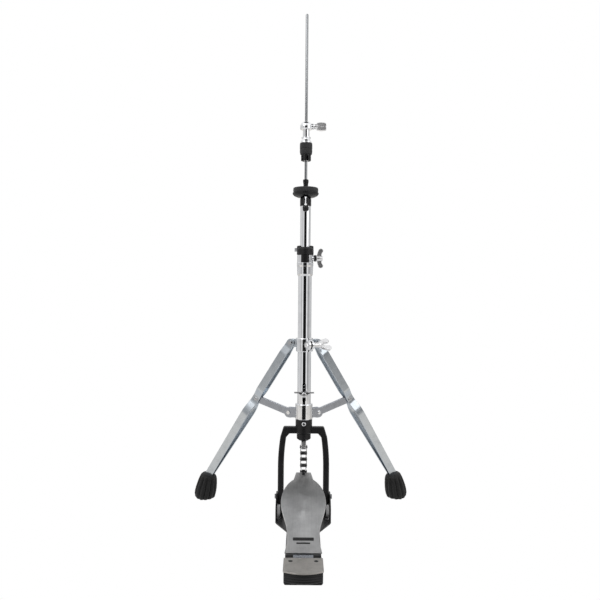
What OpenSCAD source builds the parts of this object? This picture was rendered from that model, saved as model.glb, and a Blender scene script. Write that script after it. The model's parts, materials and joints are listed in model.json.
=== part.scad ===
// Two-leg hi-hat stand with a chain-driven pedal.
// Millimetres, +Z up, origin on the floor under the column, pedal towards -Y.

/* [Column] */
// Outer diameter of the lower tube
lower_tube_d = 28.6; // [24:0.1:34]
// Outer diameter of the upper tube
upper_tube_d = 22.2; // [18:0.1:26]
// Wall of both tubes
tube_wall = 1.6; // [1:0.1:3]
// Top of the tube clamp
clamp_top = 563; // [500:1:620]
// Top of the upper tube
upper_tube_top = 668; // [640:1:720]
// Gap of a running fit, on the radius
run = 0.05; // [0.02:0.01:0.1]

/* [Legs] */
// Angle of each leg behind the sideways direction
leg_back = 30; // [10:1:60]
// Turn of the whole leg set about the column
leg_yaw = 2; // [-10:0.5:10]
// Angle of a leg from the vertical
leg_lean = 34.3; // [20:0.1:45]
// Radius of the upper leg pivot
leg_pivot_r = 32; // [26:0.5:40]
// Height of the upper leg pivot
leg_pivot_z = 373; // [330:1:420]
// Radius of the brace pivot
brace_pivot_r = 35; // [28:0.5:44]
// Height of the brace pivot
brace_pivot_z = 222; // [180:1:260]
// Radius of the rivet between leg and brace
rivet_r = 118.5; // [90:0.1:150]
// Height of the rivet between leg and brace
rivet_z = 244; // [220:0.1:280]
// Width of a leg bar
leg_bar_w = 18; // [12:0.5:26]
// Thickness of a leg bar
leg_bar_t = 2.5; // [1.5:0.1:5]
// Length of a leg bar
leg_bar_len = 415; // [350:1:520]
// Length of a rubber foot
foot_len = 60; // [40:1:90]
// Distance of a foot from the column, at the floor
foot_r = 262.5; // [200:0.5:320]
// Angle of a foot from the vertical
foot_lean = 13.5; // [0:0.5:30]

/* [Pedal] */
// Distance of the hinge in front of the column
hinge_y = 254; // [200:1:300]
// Height of the hinge
hinge_z = 19; // [12:0.5:30]
// Slope of the footboard at rest
board_slope = 18.37; // [10:0.01:30]
// Length of the footboard from the hinge
board_len = 246.5; // [200:0.5:280]
// Thickness of the footboard
board_t = 3; // [2:0.5:6]
// Pitch of the chain
chain_pitch = 12.7; // [8:0.1:16]
// Distance of the chain's lower pin in front of the column
toe_pin_y = 12.06; // [6:0.01:30]
// Height of the chain's lower pin
toe_pin_z = 101.04; // [80:0.01:130]

/* [Rod and clutch] */
// Diameter of the pull rod
rod_d = 6; // [5:0.1:8]
// Top of the pull rod
rod_top = 1081; // [900:1:1200]
// Bottom of the clutch
clutch_z = 765; // [745:1:900]

/* [Hidden] */
$fn = 48;
lower_tube_id = lower_tube_d - 2 * tube_wall;
upper_tube_id = upper_tube_d - 2 * tube_wall;
chain_len = 4 * chain_pitch;
chain_pin_z = toe_pin_z + sqrt(chain_len * chain_len - toe_pin_y * toe_pin_y);
chain_tilt = asin(toe_pin_y / chain_len);
toe_u = (hinge_y - toe_pin_y) * cos(board_slope) + (toe_pin_z - hinge_z) * sin(board_slope);
toe_w = (toe_pin_z - hinge_z) * cos(board_slope) - (hinge_y - toe_pin_y) * sin(board_slope);
board_top = 6;
rivet_s = sqrt(pow(rivet_r - leg_pivot_r, 2) + pow(leg_pivot_z - rivet_z, 2));
rivet_off = rivet_s * sin(atan2(rivet_r - leg_pivot_r, leg_pivot_z - rivet_z) - leg_lean);
brace_len = sqrt(pow(rivet_r - brace_pivot_r, 2) + pow(rivet_z - brace_pivot_z, 2));
brace_rise = atan2(rivet_z - brace_pivot_z, rivet_r - brace_pivot_r);
yoke_bolt_z = 44;
yoke_screw_z = 203;
collar_low = 212;
spring_screw_z = 266;
carrier_half = 8;
slot_w = 7.5;
slot_low = spring_screw_z - 13;
slot_high = spring_screw_z + 20;
spring_low = spring_screw_z + carrier_half;
spring_high = 362;
clamp_screw_z = clamp_top - 7;
seat_pin_y = 16;
seat_pin_z = 679;
tilt_y = -18;
steel = [0.72, 0.73, 0.75];
chrome = [0.82, 0.84, 0.87];
black = [0.08, 0.08, 0.09];
rubber = [0.12, 0.12, 0.12];

// ---- shared shapes ----

// hollow round along Z
module ring(od, id, z0, z1) {
    translate([0, 0, z0]) difference() {
        cylinder(d = od, h = z1 - z0);
        translate([0, 0, -1]) cylinder(d = id, h = z1 - z0 + 2);
    }
}

// shape drawn in the Y-Z plane, made solid from x = a to x = b
module side_slab(a, b) {
    translate([a, 0, 0]) rotate([90, 0, 90]) linear_extrude(height = b - a) children();
}

// round rod along X, at (y, z)
module rod_x(d, a, b, y, z) {
    translate([a, y, z]) rotate([0, 90, 0]) cylinder(d = d, h = b - a);
}

// two-winged grip along +Z, its base at 0; the wings reach reach_r from the axis
module wings(hub_d, hub_h, reach_r, lift, thick) {
    cylinder(d1 = hub_d, d2 = hub_d * 0.82, h = hub_h);
    for (s = [-1, 1]) hull() {
        translate([s * hub_d * 0.25, 0, hub_h * 0.5]) rotate([90, 0, 0])
            cylinder(d = hub_h * 0.7, h = thick, center = true, $fn = 32);
        translate([s * (reach_r - 5), 0, lift]) rotate([90, 0, 0])
            cylinder(d = 10, h = thick, center = true, $fn = 32);
    }
}

// puts a shape drawn for a leg along +X at the left (-1) or right (+1) leg
module at_leg(side) {
    rotate([0, 0, leg_yaw + (side > 0 ? leg_back : 180 - leg_back)]) children();
}

// frame of the footboard: +X sideways, +Y along the board, +Z out of its top
module on_board() {
    translate([0, -hinge_y, hinge_z]) rotate([board_slope, 0, 0]) children();
}

// frame of the chain: origin at its upper pin, -Z down the chain
module on_chain() {
    translate([0, 0, chain_pin_z]) rotate([-chain_tilt, 0, 0]) children();
}

// ---- base, heel and yoke ----

module base_outline(grow) {
    polygon([[-58.2 - grow, 25], [-58.2 - grow, -41], [-33 - grow, -90], [-33 - grow, -313],
        [33 + grow, -313], [33 + grow, -90], [58.2 + grow, -41], [58.2 + grow, 25]]);
}

module floor_mat() {
    color(rubber) linear_extrude(height = 1.5) base_outline(-1);
}

module base_plate() {
    color(black) difference() {
        union() {
            translate([0, 0, 1.5]) linear_extrude(height = 3) base_outline(0);
            for (a = [-58.2, 55.2]) side_slab(a, a + 3)
                polygon([[22, 1.5], [22, 44], [12, 52], [-12, 52], [-62, 9], [-62, 1.5]]);
        }
        rod_x(6, -70, 70, 0, yoke_bolt_z);
        translate([0, 0, -1]) linear_extrude(height = 70) difference() {
            translate([-90, -80]) square([180, 120]);
            base_outline(0);
        }
    }
}

module side_clips() {
    color(chrome) for (s = [-1, 1]) {
        translate([s * 51, -24, 5.25]) cube([8, 10, 1.5], center = true);
        translate([s * 53.5, -24, 21]) cube([1.5, 10, 30], center = true);
    }
}

module heel_outline(half, front) {
    intersection() {
        translate([-half, -front]) square([2 * half, front - 262.5]);
        translate([0, 105 - front]) circle(r = 105, $fn = 96);
    }
}

module heel_block() {
    color(black) difference() {
        intersection() {
            translate([0, 0, 4.5]) linear_extrude(height = 17) heel_outline(33, 322);
            side_slab(-40, 40) polygon([[-262, 4.5], [-262, 21.5], [-322, 21.5],
                [-322, 17], [-314, 4.5]]);
        }
        for (x = [-22, 22]) translate([x, -276, 10]) cylinder(d = 4, h = 20);
    }
}

module heel_plate() {
    color(steel) difference() {
        translate([0, 0, 21.5]) linear_extrude(height = 2.5) heel_outline(34, 324);
        for (x = [-22, 22]) {
            translate([x, -276, 20]) cylinder(d = 4, h = 10);
            translate([x, -276, 22.5]) cylinder(d = 8, h = 10);
        }
    }
}

module heel_screws() {
    color(steel) for (x = [-22, 22]) translate([x, -276, 0]) {
        translate([0, 0, 10]) cylinder(d = 4, h = 13);
        translate([0, 0, 22.5]) cylinder(d = 8, h = 1.8);
    }
}

module hinge_blocks() {
    color(black) for (s = [-1, 1]) difference() {
        union() {
            rod_x(13, min(s * 18, s * 31), max(s * 18, s * 31), -hinge_y, hinge_z);
            translate([s * 24.5 - 6.5, -hinge_y - 8, 4.5]) cube([13, 14.5, hinge_z - 4.5]);
        }
        rod_x(5, -40, 40, -hinge_y, hinge_z);
    }
}

module hinge_pin() {
    color(steel) rod_x(5, -32, 32, -hinge_y, hinge_z);
}

// half width of the yoke's outer side at height z
function yoke_half(z) = 55 - 8.6 * pow(max(0, z - 108) / 86.7, 2);

module yoke_outline() {
    arm = 12.8;
    side = concat([5], [for (z = [108:8:188]) z]);
    inner = concat([5], [for (z = [108:8:172]) z]);
    for (m = [-1, 1]) polygon(concat([for (z = side) [m * yoke_half(z), z]],
        [[m * 46, 192], [m * 43.5, 194.7], [0, 194.7], [0, 180], [m * 30, 180], [m * 34.5, 177.5]],
        [for (i = [len(inner) - 1:-1:0]) [m * (yoke_half(inner[i]) - arm), inner[i]]]));
}

module pedal_yoke() {
    color(black) difference() {
        union() {
            translate([0, 7, 0]) rotate([90, 0, 0]) linear_extrude(height = 14) yoke_outline();
            translate([0, 0, 180]) cylinder(d = 35.7, h = collar_low - 180);
            translate([0, 0, 169]) cylinder(d = 30, h = 12);
            translate([0, 0, 165.5]) cylinder(d1 = 20, d2 = 30, h = 3.5);
        }
        translate([0, 0, 184]) cylinder(d = lower_tube_d, h = 40);
        translate([0, 0, 150]) cylinder(d = 14, h = 50);
        rod_x(6, -70, 70, 0, yoke_bolt_z);
        translate([0, -10, yoke_screw_z]) rotate([90, 0, 0]) cylinder(d = 5, h = 20);
    }
}

module yoke_bolts() {
    color(steel) for (s = [-1, 1]) {
        rod_x(6, min(s * 43, s * 58.2), max(s * 43, s * 58.2), 0, yoke_bolt_z);
        rod_x(11, min(s * 58.2, s * 61.4), max(s * 58.2, s * 61.4), 0, yoke_bolt_z);
    }
}

module yoke_screw() {
    color(steel) {
        translate([0, -14.6, yoke_screw_z]) rotate([90, 0, 0]) cylinder(d = 5, h = 3.3);
        translate([0, -17.85, yoke_screw_z]) rotate([90, 0, 0]) difference() {
            cylinder(d = 9.3, h = 3);
            translate([0, 0, 1]) cylinder(d = 4, h = 3, $fn = 6);
        }
    }
}

module rod_guide() {
    color(black) ring(14, rod_d + 2 * run, 168, 184);
}

// ---- lower column ----

module lower_tube() {
    color(chrome) difference() {
        ring(lower_tube_d, lower_tube_id, 184, clamp_screw_z);
        for (z = [slot_low, slot_high]) translate([0, -15, z]) rotate([90, 0, 0])
            cylinder(d = slot_w, h = 20, center = true);
        translate([-slot_w / 2, -25, slot_low]) cube([slot_w, 20, slot_high - slot_low]);
    }
}

module lower_leg_collar() {
    color(chrome) difference() {
        union() {
            translate([0, 0, collar_low]) cylinder(d = 36.5, h = 32);
            for (s = [-1, 1]) at_leg(s) for (t = [-5.6, 2.6]) {
                translate([15, t, collar_low])
                    cube([brace_pivot_r - 15, 3, brace_pivot_z + 11 - collar_low]);
                translate([brace_pivot_r, t + 3, brace_pivot_z]) rotate([90, 0, 0])
                    cylinder(d = 22, h = 3);
            }
        }
        translate([0, 0, 200]) cylinder(d = lower_tube_d, h = 60);
        for (s = [-1, 1]) at_leg(s) translate([brace_pivot_r, 10, brace_pivot_z])
            rotate([90, 0, 0]) cylinder(d = 6, h = 20);
    }
}

module brace_pins() {
    color(steel) for (s = [-1, 1]) at_leg(s) translate([brace_pivot_r, 0, brace_pivot_z]) {
        rotate([90, 0, 0]) cylinder(d = 6, h = 11.2, center = true);
        for (t = [-6.6, 6.6]) translate([0, t, 0]) rotate([90, 0, 0])
            cylinder(d = 9, h = 2, center = true);
    }
}

module tube_clamp() {
    color(chrome) difference() {
        union() {
            translate([0, 0, 517.5]) cylinder(d = 35, h = clamp_top - 517.5);
            rod_x(13, 10, 19, 0, clamp_screw_z);
        }
        translate([0, 0, 500]) cylinder(d = lower_tube_d, h = clamp_top - 503);
        translate([0, 0, 540]) cylinder(d = 24, h = 40);
        rod_x(6, 14.4, 30, 0, clamp_screw_z);
        translate([-9, -30, 546]) cube([18, 30, 30]);
    }
}

module clamp_insert() {
    color(black) intersection() {
        ring(35.6, 28.6, 546, clamp_top);
        translate([-9, -30, 546]) cube([18, 30, 30]);
    }
}

module tube_bushing() {
    color(black) {
        ring(lower_tube_id, upper_tube_d + 2 * run, 520, clamp_screw_z);
        ring(lower_tube_d, upper_tube_d + 2 * run, clamp_top - 7, clamp_top - 3);
    }
}

module clamp_stud() {
    color(steel) rod_x(6, 14.6, 37, 0, clamp_screw_z);
    color(black) difference() {
        rod_x(14, 19, 24, 0, clamp_screw_z);
        rod_x(6, 18, 25, 0, clamp_screw_z);
    }
}

module height_wing_nut() {
    color(chrome) difference() {
        translate([24.4, 0, clamp_screw_z]) rotate([0, 90, 0]) wings(14, 13, 21, 9, 5);
        rod_x(6 + 2 * run, 20, 60, 0, clamp_screw_z);
    }
}

module spring_carrier() {
    color(black) difference() {
        ring(lower_tube_id - 2 * run, 9, spring_screw_z - carrier_half, spring_low);
        translate([0, 0, spring_screw_z]) rotate([90, 0, 0]) cylinder(d = 6 + 2 * run, h = 30);
    }
}

module spring_wing_screw() {
    color(chrome) {
        translate([0, -7, spring_screw_z]) rotate([90, 0, 0]) cylinder(d = 6, h = 10);
        translate([0, -16.4, spring_screw_z]) rotate([90, 0, 0]) wings(13, 11, 22, 10, 4);
    }
}

// ---- upper column and cymbal seat ----

module upper_tube() {
    color(chrome) ring(upper_tube_d, upper_tube_id, 385, upper_tube_top);
}

module seat_base() {
    color(black) difference() {
        union() {
            translate([0, 0, upper_tube_top]) cylinder(d = 24, h = 17.7);
            translate([0, 0, 652]) cylinder(d = upper_tube_id, h = 17);
            translate([-6, tilt_y, 672]) cube([12, 16, 12]);
            translate([0, tilt_y, 672]) cylinder(d = 12, h = 12);
            translate([-6, 4, 675]) cube([12, 12, 8]);
            rod_x(8, -6, 6, seat_pin_y, seat_pin_z);
        }
        translate([0, 0, 640]) cylinder(d = 9.4, h = 50);
        translate([0, 0, 640]) cylinder(d = 13, h = 34);
        translate([0, 0, 676]) cylinder(d = 11.4, h = 20);
        translate([0, tilt_y, 655]) cylinder(d = 14, h = 16.5);
        translate([0, tilt_y, 665]) cylinder(d = 6 + 2 * run, h = 30);
        translate([-2.5, -30, 665]) cube([5, 12, 30]);
        rod_x(4, -10, 10, seat_pin_y, seat_pin_z);
    }
}

module seat_sleeve() {
    color(black) difference() {
        union() {
            translate([0, 0, 676]) cylinder(d = 11.4, h = 10);
            translate([0, 0, 685.7]) cylinder(d = 12, h = 38.7);
            translate([0, 0, 724.4]) cylinder(d1 = 12, d2 = 10, h = 1);
        }
        translate([0, 0, 670]) cylinder(d = 8, h = 60);
    }
}

module seat_hinge_pin() {
    color(steel) rod_x(4, -10.5, 10.5, seat_pin_y, seat_pin_z);
}

module tilt_knob() {
    color(black) translate([0, tilt_y, 655]) difference() {
        cylinder(d = 13, h = 12.5);
        for (a = [0:45:315]) rotate([0, 0, a]) translate([7.3, 0, -1]) cylinder(d = 3, h = 15);
        translate([0, 0, 4]) cylinder(d = 6, h = 10);
    }
}

module tilt_screw() {
    color(chrome) translate([0, tilt_y, 659]) cylinder(d = 6, h = 26.6);
}

module seat_cup() {
    color(black) difference() {
        union() {
            translate([0, 0, 686]) cylinder(d1 = 26, d2 = 56, h = 5);
            translate([0, 0, 691]) cylinder(d = 56, h = 5.4);
            for (s = [-1, 1]) {
                translate([s * 7.9 - 1.5, 12, seat_pin_z]) cube([3, 8, 9]);
                rod_x(8, min(s * 6.4, s * 9.4), max(s * 6.4, s * 9.4), seat_pin_y, seat_pin_z);
            }
        }
        translate([0, 0, 680]) cylinder(d = 18, h = 30);
        rod_x(4 + 2 * run, -20, 20, seat_pin_y, seat_pin_z);
    }
}

module seat_felt() {
    color(rubber) ring(54, 18, 696.4, 707.2);
}

module memory_lock() {
    color(black) difference() {
        union() {
            translate([0, 0, clamp_top + 0.3]) cylinder(d = 36, h = 14);
            translate([0, 0, clamp_top + 14.3]) cylinder(d1 = 36, d2 = 31, h = 5.7);
            rod_x(9, -20, -10, 0, clamp_top + 11);
        }
        translate([0, 0, 500]) cylinder(d = upper_tube_d + 2 * run, h = 100);
        rod_x(5, -30, -5, 0, clamp_top + 11);
    }
}

module lock_screw() {
    color(steel) {
        rod_x(5, -20, -11.6, 0, clamp_top + 11);
        rod_x(8, -23, -20, 0, clamp_top + 11);
    }
}

// ---- pull rod ----

module upper_pull_rod() {
    color(chrome) {
        translate([0, 0, 384]) cylinder(d = rod_d, h = rod_top - 385);
        translate([0, 0, rod_top - 1]) cylinder(d1 = rod_d, d2 = rod_d - 2, h = 1);
    }
}

module rod_coupler() {
    color(steel) difference() {
        translate([0, 0, 372]) cylinder(d = 11.5, h = 24, $fn = 6);
        translate([0, 0, 370]) cylinder(d = rod_d, h = 30);
    }
}

module lower_pull_rod() {
    color(steel) translate([0, 0, 157]) cylinder(d = rod_d, h = 384 - 157);
}

module spring_retainer() {
    color(steel) ring(20, rod_d, spring_high, spring_high + 3);
    color(steel) ring(11, rod_d, spring_high + 3, spring_high + 9);
}

module return_spring() {
    coils = 14;
    step = (spring_high - spring_low - 2) / (coils - 1);
    color(steel) {
        for (i = [0:coils - 1]) translate([0, 0, spring_low + 1 + i * step])
            rotate_extrude() translate([8, 0]) circle(d = 2, $fn = 16);
        for (i = [0:coils - 2]) rotate([0, 0, i * 140])
            translate([8, 0, spring_low + 1 + i * step]) cylinder(d = 1.4, h = step);
    }
}

module chain_clevis() {
    color(steel) difference() {
        union() {
            translate([-5.2, -5.5, chain_pin_z]) cube([10.4, 11, 165 - chain_pin_z]);
            rod_x(11, -5.2, 5.2, 0, chain_pin_z);
        }
        rod_x(4, -10, 10, 0, chain_pin_z);
        translate([0, 0, 157]) cylinder(d = rod_d, h = 20);
    }
}

module clevis_pin() {
    color(steel) {
        rod_x(4, -7.4, 7.4, 0, chain_pin_z);
        for (x = [-8.4, 7.2]) rod_x(6, x, x + 1.2, 0, chain_pin_z);
    }
}

// ---- clutch ----

module clutch_body() {
    z = clutch_z + 67;
    color(chrome) difference() {
        union() {
            translate([0, 0, z]) cylinder(d1 = 17, d2 = 25, h = 4);
            translate([0, 0, z + 4]) cylinder(d = 25, h = 9);
            translate([0, 0, z + 13]) cylinder(d1 = 25, d2 = 14, h = 6);
            rod_x(13, 8, 17, 0, z + 7);
        }
        translate([0, 0, z - 1]) cylinder(d = rod_d + 2 * run, h = 30);
        rod_x(6 + 2 * run, 2, 30, 0, z + 7);
    }
}

module clutch_tube() {
    color(chrome) difference() {
        union() {
            translate([0, 0, clutch_z + 51]) cylinder(d = 14, h = 16);
            translate([0, 0, clutch_z]) cylinder(d = 9.6, h = 52);
        }
        translate([0, 0, clutch_z - 1]) cylinder(d = 6.6, h = 80);
    }
}

module clutch_top_nut() {
    color(chrome) difference() {
        translate([0, 0, clutch_z + 38]) cylinder(d1 = 24, d2 = 19, h = 13);
        translate([0, 0, clutch_z + 30]) cylinder(d = 9.6, h = 30);
    }
}

module clutch_felts() {
    color(rubber) ring(27, 9.6, clutch_z + 14, clutch_z + 25.9);
    color(rubber) ring(27, 9.6, clutch_z + 26.1, clutch_z + 38);
}

module clutch_bottom_nut() {
    color(black) difference() {
        translate([0, 0, clutch_z]) cylinder(d = 21.5, h = 14);
        translate([0, 0, clutch_z - 1]) cylinder(d = 9.6, h = 20);
        for (a = [0:45:315]) rotate([0, 0, a]) translate([11.5, 0, clutch_z - 1])
            cylinder(d = 5, h = 11);
    }
}

module clutch_wing_screw() {
    z = clutch_z + 74;
    color(chrome) {
        rod_x(6, 3.3, 18, 0, z);
        translate([17.3, 0, z]) rotate([0, 90, 0]) wings(9, 14, 11, 22, 5);
    }
}

// ---- chain ----

module link_plate(i, x, bore_low) {
    translate([x, 0, -i * chain_pitch]) rotate([0, 90, 0]) difference() {
        hull() {
            cylinder(d = 9.6, h = 1.2, $fn = 32);
            translate([chain_pitch, 0, 0]) cylinder(d = 9.6, h = 1.2, $fn = 32);
        }
        translate([0, 0, -1]) cylinder(d = i == 0 ? 4 + 2 * run : 3.6, h = 4);
        translate([chain_pitch, 0, -1]) cylinder(d = bore_low, h = 4);
    }
}

module chain_outer_plates() {
    color(black) on_chain() for (i = [0, 2]) for (x = [-7, 5.8]) link_plate(i, x, 3.6);
}

module chain_inner_plates() {
    color(black) on_chain() for (i = [1, 3]) for (x = [-5.8, 4.6])
        link_plate(i, x, i == 3 ? 5.2 : 3.6);
}

module chain_rollers() {
    color(black) on_chain() for (i = [1:3]) {
        rod_x(3.6, -7.6, 7.6, 0, -i * chain_pitch);
        rod_x(8, -4.6, 4.6, 0, -i * chain_pitch);
    }
}

// ---- footboard ----

// smooth step from a to b as t runs from 0 to 1
function ease(a, b, t) = a + (b - a) * (1 - cos(180 * t)) / 2;

// half width of the board at distance u from the hinge
function board_half(u) = u < 40 ? ease(33.5, 29.5, u / 40)
    : u < 50 ? 29.5
    : u < 150 ? ease(29.5, 44.3, (u - 50) / 100)
    : u < 221 ? 44.3 * sqrt(1 - pow((u - 150) / 80, 2))
    : 20.4 - 4.9 * (u - 221) / (board_len - 221);

module footboard() {
    start = 7;
    n = 48;
    pts = [for (i = [0:n]) start + (board_len - start) * i / n];
    color(steel) on_board() translate([0, 0, board_top - board_t]) difference() {
        linear_extrude(height = board_t) polygon(concat(
            [for (u = pts) [board_half(u), u]],
            [for (i = [0:n]) [-board_half(pts[n - i]), pts[n - i]]]));
        translate([0, 240, -1]) cylinder(d = 4, h = 10);
    }
}

module footboard_barrel() {
    color(steel) on_board() difference() {
        union() {
            rod_x(12, -17.7, 17.7, 0, 0);
            translate([-17.7, 0, 0]) cube([35.4, 22, board_top - board_t]);
        }
        rod_x(5 + 2 * run, -30, 30, 0, 0);
    }
}

module chain_anchor() {
    color(black) on_board() {
        difference() {
            union() {
                translate([-7, 226, -1]) cube([14, 22, 4]);
                translate([-3.8, 240, -1]) cube([7.6, toe_u - 240, 4]);
                rod_x(8, -3.8, 3.8, toe_u, toe_w);
            }
            translate([0, 240, -2]) cylinder(d = 4, h = 10);
            rod_x(3.6, -20, 20, toe_u, toe_w);
        }
    }
    color(steel) on_board() {
        rod_x(3.6, -7.2, 7.2, toe_u, toe_w);
        for (x = [-7.4, 6.2]) rod_x(6, x, x + 1.2, toe_u, toe_w);
        translate([0, 240, -1]) cylinder(d = 4, h = 7);
        translate([0, 240, board_top]) cylinder(d = 7, h = 1.6);
    }
}

// ---- legs ----

module upper_leg_collar() {
    color(chrome) difference() {
        union() {
            translate([0, 0, 356]) cylinder(d = 36, h = 29);
            for (s = [-1, 1]) at_leg(s) {
                translate([15, -3.1, leg_pivot_z - 9]) cube([leg_pivot_r - 15, 6.2, 18]);
                translate([leg_pivot_r, 3.1, leg_pivot_z]) rotate([90, 0, 0])
                    cylinder(d = 18, h = 6.2);
            }
            rotate([0, 0, -60]) translate([14, -6.5, 361]) cube([18, 13, 20]);
        }
        translate([0, 0, 350]) cylinder(d = lower_tube_d + 2 * run, h = 40);
        rotate([0, 0, -60]) translate([10, -1.5, 350]) cube([30, 3, 40]);
        rotate([0, 0, -60]) translate([25, 10, 371]) rotate([90, 0, 0])
            cylinder(d = 6 + 2 * run, h = 20);
        for (s = [-1, 1]) at_leg(s) translate([leg_pivot_r, 10, leg_pivot_z])
            rotate([90, 0, 0]) cylinder(d = 6, h = 20);
    }
}

module leg_pivots() {
    color(steel) for (s = [-1, 1]) at_leg(s) translate([leg_pivot_r, 0, leg_pivot_z]) {
        rotate([90, 0, 0]) cylinder(d = 6, h = 14, center = true);
        for (t = [-7.6, 7.6]) translate([0, t, 0]) rotate([90, 0, 0])
            cylinder(d = 10, h = 2.4, center = true);
    }
}

module leg_wing_bolt() {
    color(chrome) rotate([0, 0, -60]) {
        translate([25, 26, 371]) rotate([90, 0, 0]) cylinder(d = 6, h = 36);
        translate([25, -6.8, 371]) rotate([90, 0, 0]) cylinder(d = 10, h = 5, $fn = 6);
        translate([25, 6.9, 371]) rotate([-90, 0, 0]) cylinder(d = 11, h = 12);
        translate([25, 18, 371]) rotate([-90, 0, 0]) wings(11, 13, 13, 26, 4);
    }
}

// outline of the gap face of one bar: distance along the bar, distance off the leg's middle
function bar_path() = [[-9, 3.4], [10, 3.4], [28, 8], [rivet_s - 24, 8], [rivet_s - 8, 3],
    [rivet_s + 8, 3], [rivet_s + 32, 13], [leg_bar_len - 22, 2.2], [leg_bar_len, 2.2]];

module leg_bars(side) {
    path = bar_path();
    n = len(path) - 1;
    color(steel) at_leg(side) translate([leg_pivot_r, 0, leg_pivot_z])
        rotate([0, 90 - leg_lean, 0]) for (m = [-1, 1]) difference() {
        union() {
            translate([0, 0, -leg_bar_w / 2]) linear_extrude(height = leg_bar_w)
                polygon(concat([for (p = path) [p[0], m * p[1]]],
                    [for (i = [0:n]) [path[n - i][0], m * (path[n - i][1] + leg_bar_t)]]));
            translate([rivet_s, m * (3 + leg_bar_t), rivet_off]) rotate([-90 * m, 0, 0])
                cylinder(d = 10, h = 2.2);
        }
        rotate([90, 0, 0]) cylinder(d = 6 + 2 * run, h = 40, center = true);
    }
}

module left_leg_bars() {
    leg_bars(-1);
}

module right_leg_bars() {
    leg_bars(1);
}

module foot(side) {
    color(rubber) at_leg(side) difference() {
        translate([foot_r, 0, 0]) rotate([0, -foot_lean, 0]) difference() {
            rotate_extrude() polygon([[0, -12], [12, -11], [21, -3], [24.4, 6], [25, 16],
                [24, 28], [19.5, foot_len - 10], [13, foot_len], [0, foot_len]]);
            for (a = [0:30:330]) rotate([0, 0, a]) translate([27, 0, -22]) rotate([0, -5, 0])
                cylinder(d = 6, h = foot_len + 14);
        }
        translate([foot_r - 100, -100, -100]) cube([200, 200, 100]);
        translate([leg_pivot_r, 0, leg_pivot_z]) rotate([0, 90 - leg_lean, 0])
            translate([leg_bar_len - 90, -9, -leg_bar_w / 2 - 0.2])
            cube([90.5, 18, leg_bar_w + 0.4]);
    }
}

module left_foot() {
    foot(-1);
}

module right_foot() {
    foot(1);
}

module brace(side) {
    color(steel) at_leg(side) translate([brace_pivot_r, 0, brace_pivot_z])
        rotate([0, -brace_rise, 0]) difference() {
        union() {
            translate([0, -2.25, -8]) cube([brace_len, 4.5, 16]);
            for (x = [0, brace_len]) translate([x, 0, 0]) rotate([90, 0, 0])
                cylinder(d = 16, h = 4.5, center = true);
        }
        rotate([90, 0, 0]) cylinder(d = 6 + 2 * run, h = 20, center = true);
    }
}

module left_brace() {
    brace(-1);
}

module right_brace() {
    brace(1);
}

floor_mat();
base_plate();
side_clips();
heel_block();
heel_plate();
heel_screws();
hinge_blocks();
hinge_pin();
pedal_yoke();
yoke_bolts();
yoke_screw();
rod_guide();
lower_tube();
lower_leg_collar();
brace_pins();
tube_clamp();
clamp_insert();
tube_bushing();
clamp_stud();
height_wing_nut();
spring_carrier();
spring_wing_screw();
upper_tube();
seat_base();
seat_sleeve();
seat_hinge_pin();
tilt_screw();
tilt_knob();
seat_cup();
seat_felt();
memory_lock();
lock_screw();
upper_pull_rod();
rod_coupler();
lower_pull_rod();
spring_retainer();
return_spring();
chain_clevis();
clevis_pin();
clutch_body();
clutch_tube();
clutch_top_nut();
clutch_felts();
clutch_bottom_nut();
clutch_wing_screw();
chain_outer_plates();
chain_inner_plates();
chain_rollers();
footboard();
footboard_barrel();
chain_anchor();
upper_leg_collar();
leg_pivots();
leg_wing_bolt();
left_leg_bars();
left_foot();
right_leg_bars();
right_foot();
left_brace();
right_brace();
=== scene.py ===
import json
import math

import bmesh
import bpy
from mathutils import Matrix, Vector


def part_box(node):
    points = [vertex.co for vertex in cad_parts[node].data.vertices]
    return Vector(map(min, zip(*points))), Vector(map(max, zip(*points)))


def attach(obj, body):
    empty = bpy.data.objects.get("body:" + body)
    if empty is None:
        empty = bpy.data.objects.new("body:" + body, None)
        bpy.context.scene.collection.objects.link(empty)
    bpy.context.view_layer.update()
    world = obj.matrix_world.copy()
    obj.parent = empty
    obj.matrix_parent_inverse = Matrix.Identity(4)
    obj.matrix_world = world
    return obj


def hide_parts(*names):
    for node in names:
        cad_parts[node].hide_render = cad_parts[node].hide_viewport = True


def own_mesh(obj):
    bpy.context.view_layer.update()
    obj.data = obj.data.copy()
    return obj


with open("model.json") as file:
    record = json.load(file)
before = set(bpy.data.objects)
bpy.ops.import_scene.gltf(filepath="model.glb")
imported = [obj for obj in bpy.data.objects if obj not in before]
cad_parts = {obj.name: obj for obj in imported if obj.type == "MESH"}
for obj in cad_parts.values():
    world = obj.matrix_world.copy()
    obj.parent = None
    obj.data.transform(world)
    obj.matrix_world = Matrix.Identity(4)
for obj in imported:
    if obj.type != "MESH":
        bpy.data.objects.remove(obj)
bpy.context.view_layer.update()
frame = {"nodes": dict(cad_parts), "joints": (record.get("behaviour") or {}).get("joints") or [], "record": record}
JOINTS = {j["name"]: j for j in frame["joints"]}


# ---------- materials

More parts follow.
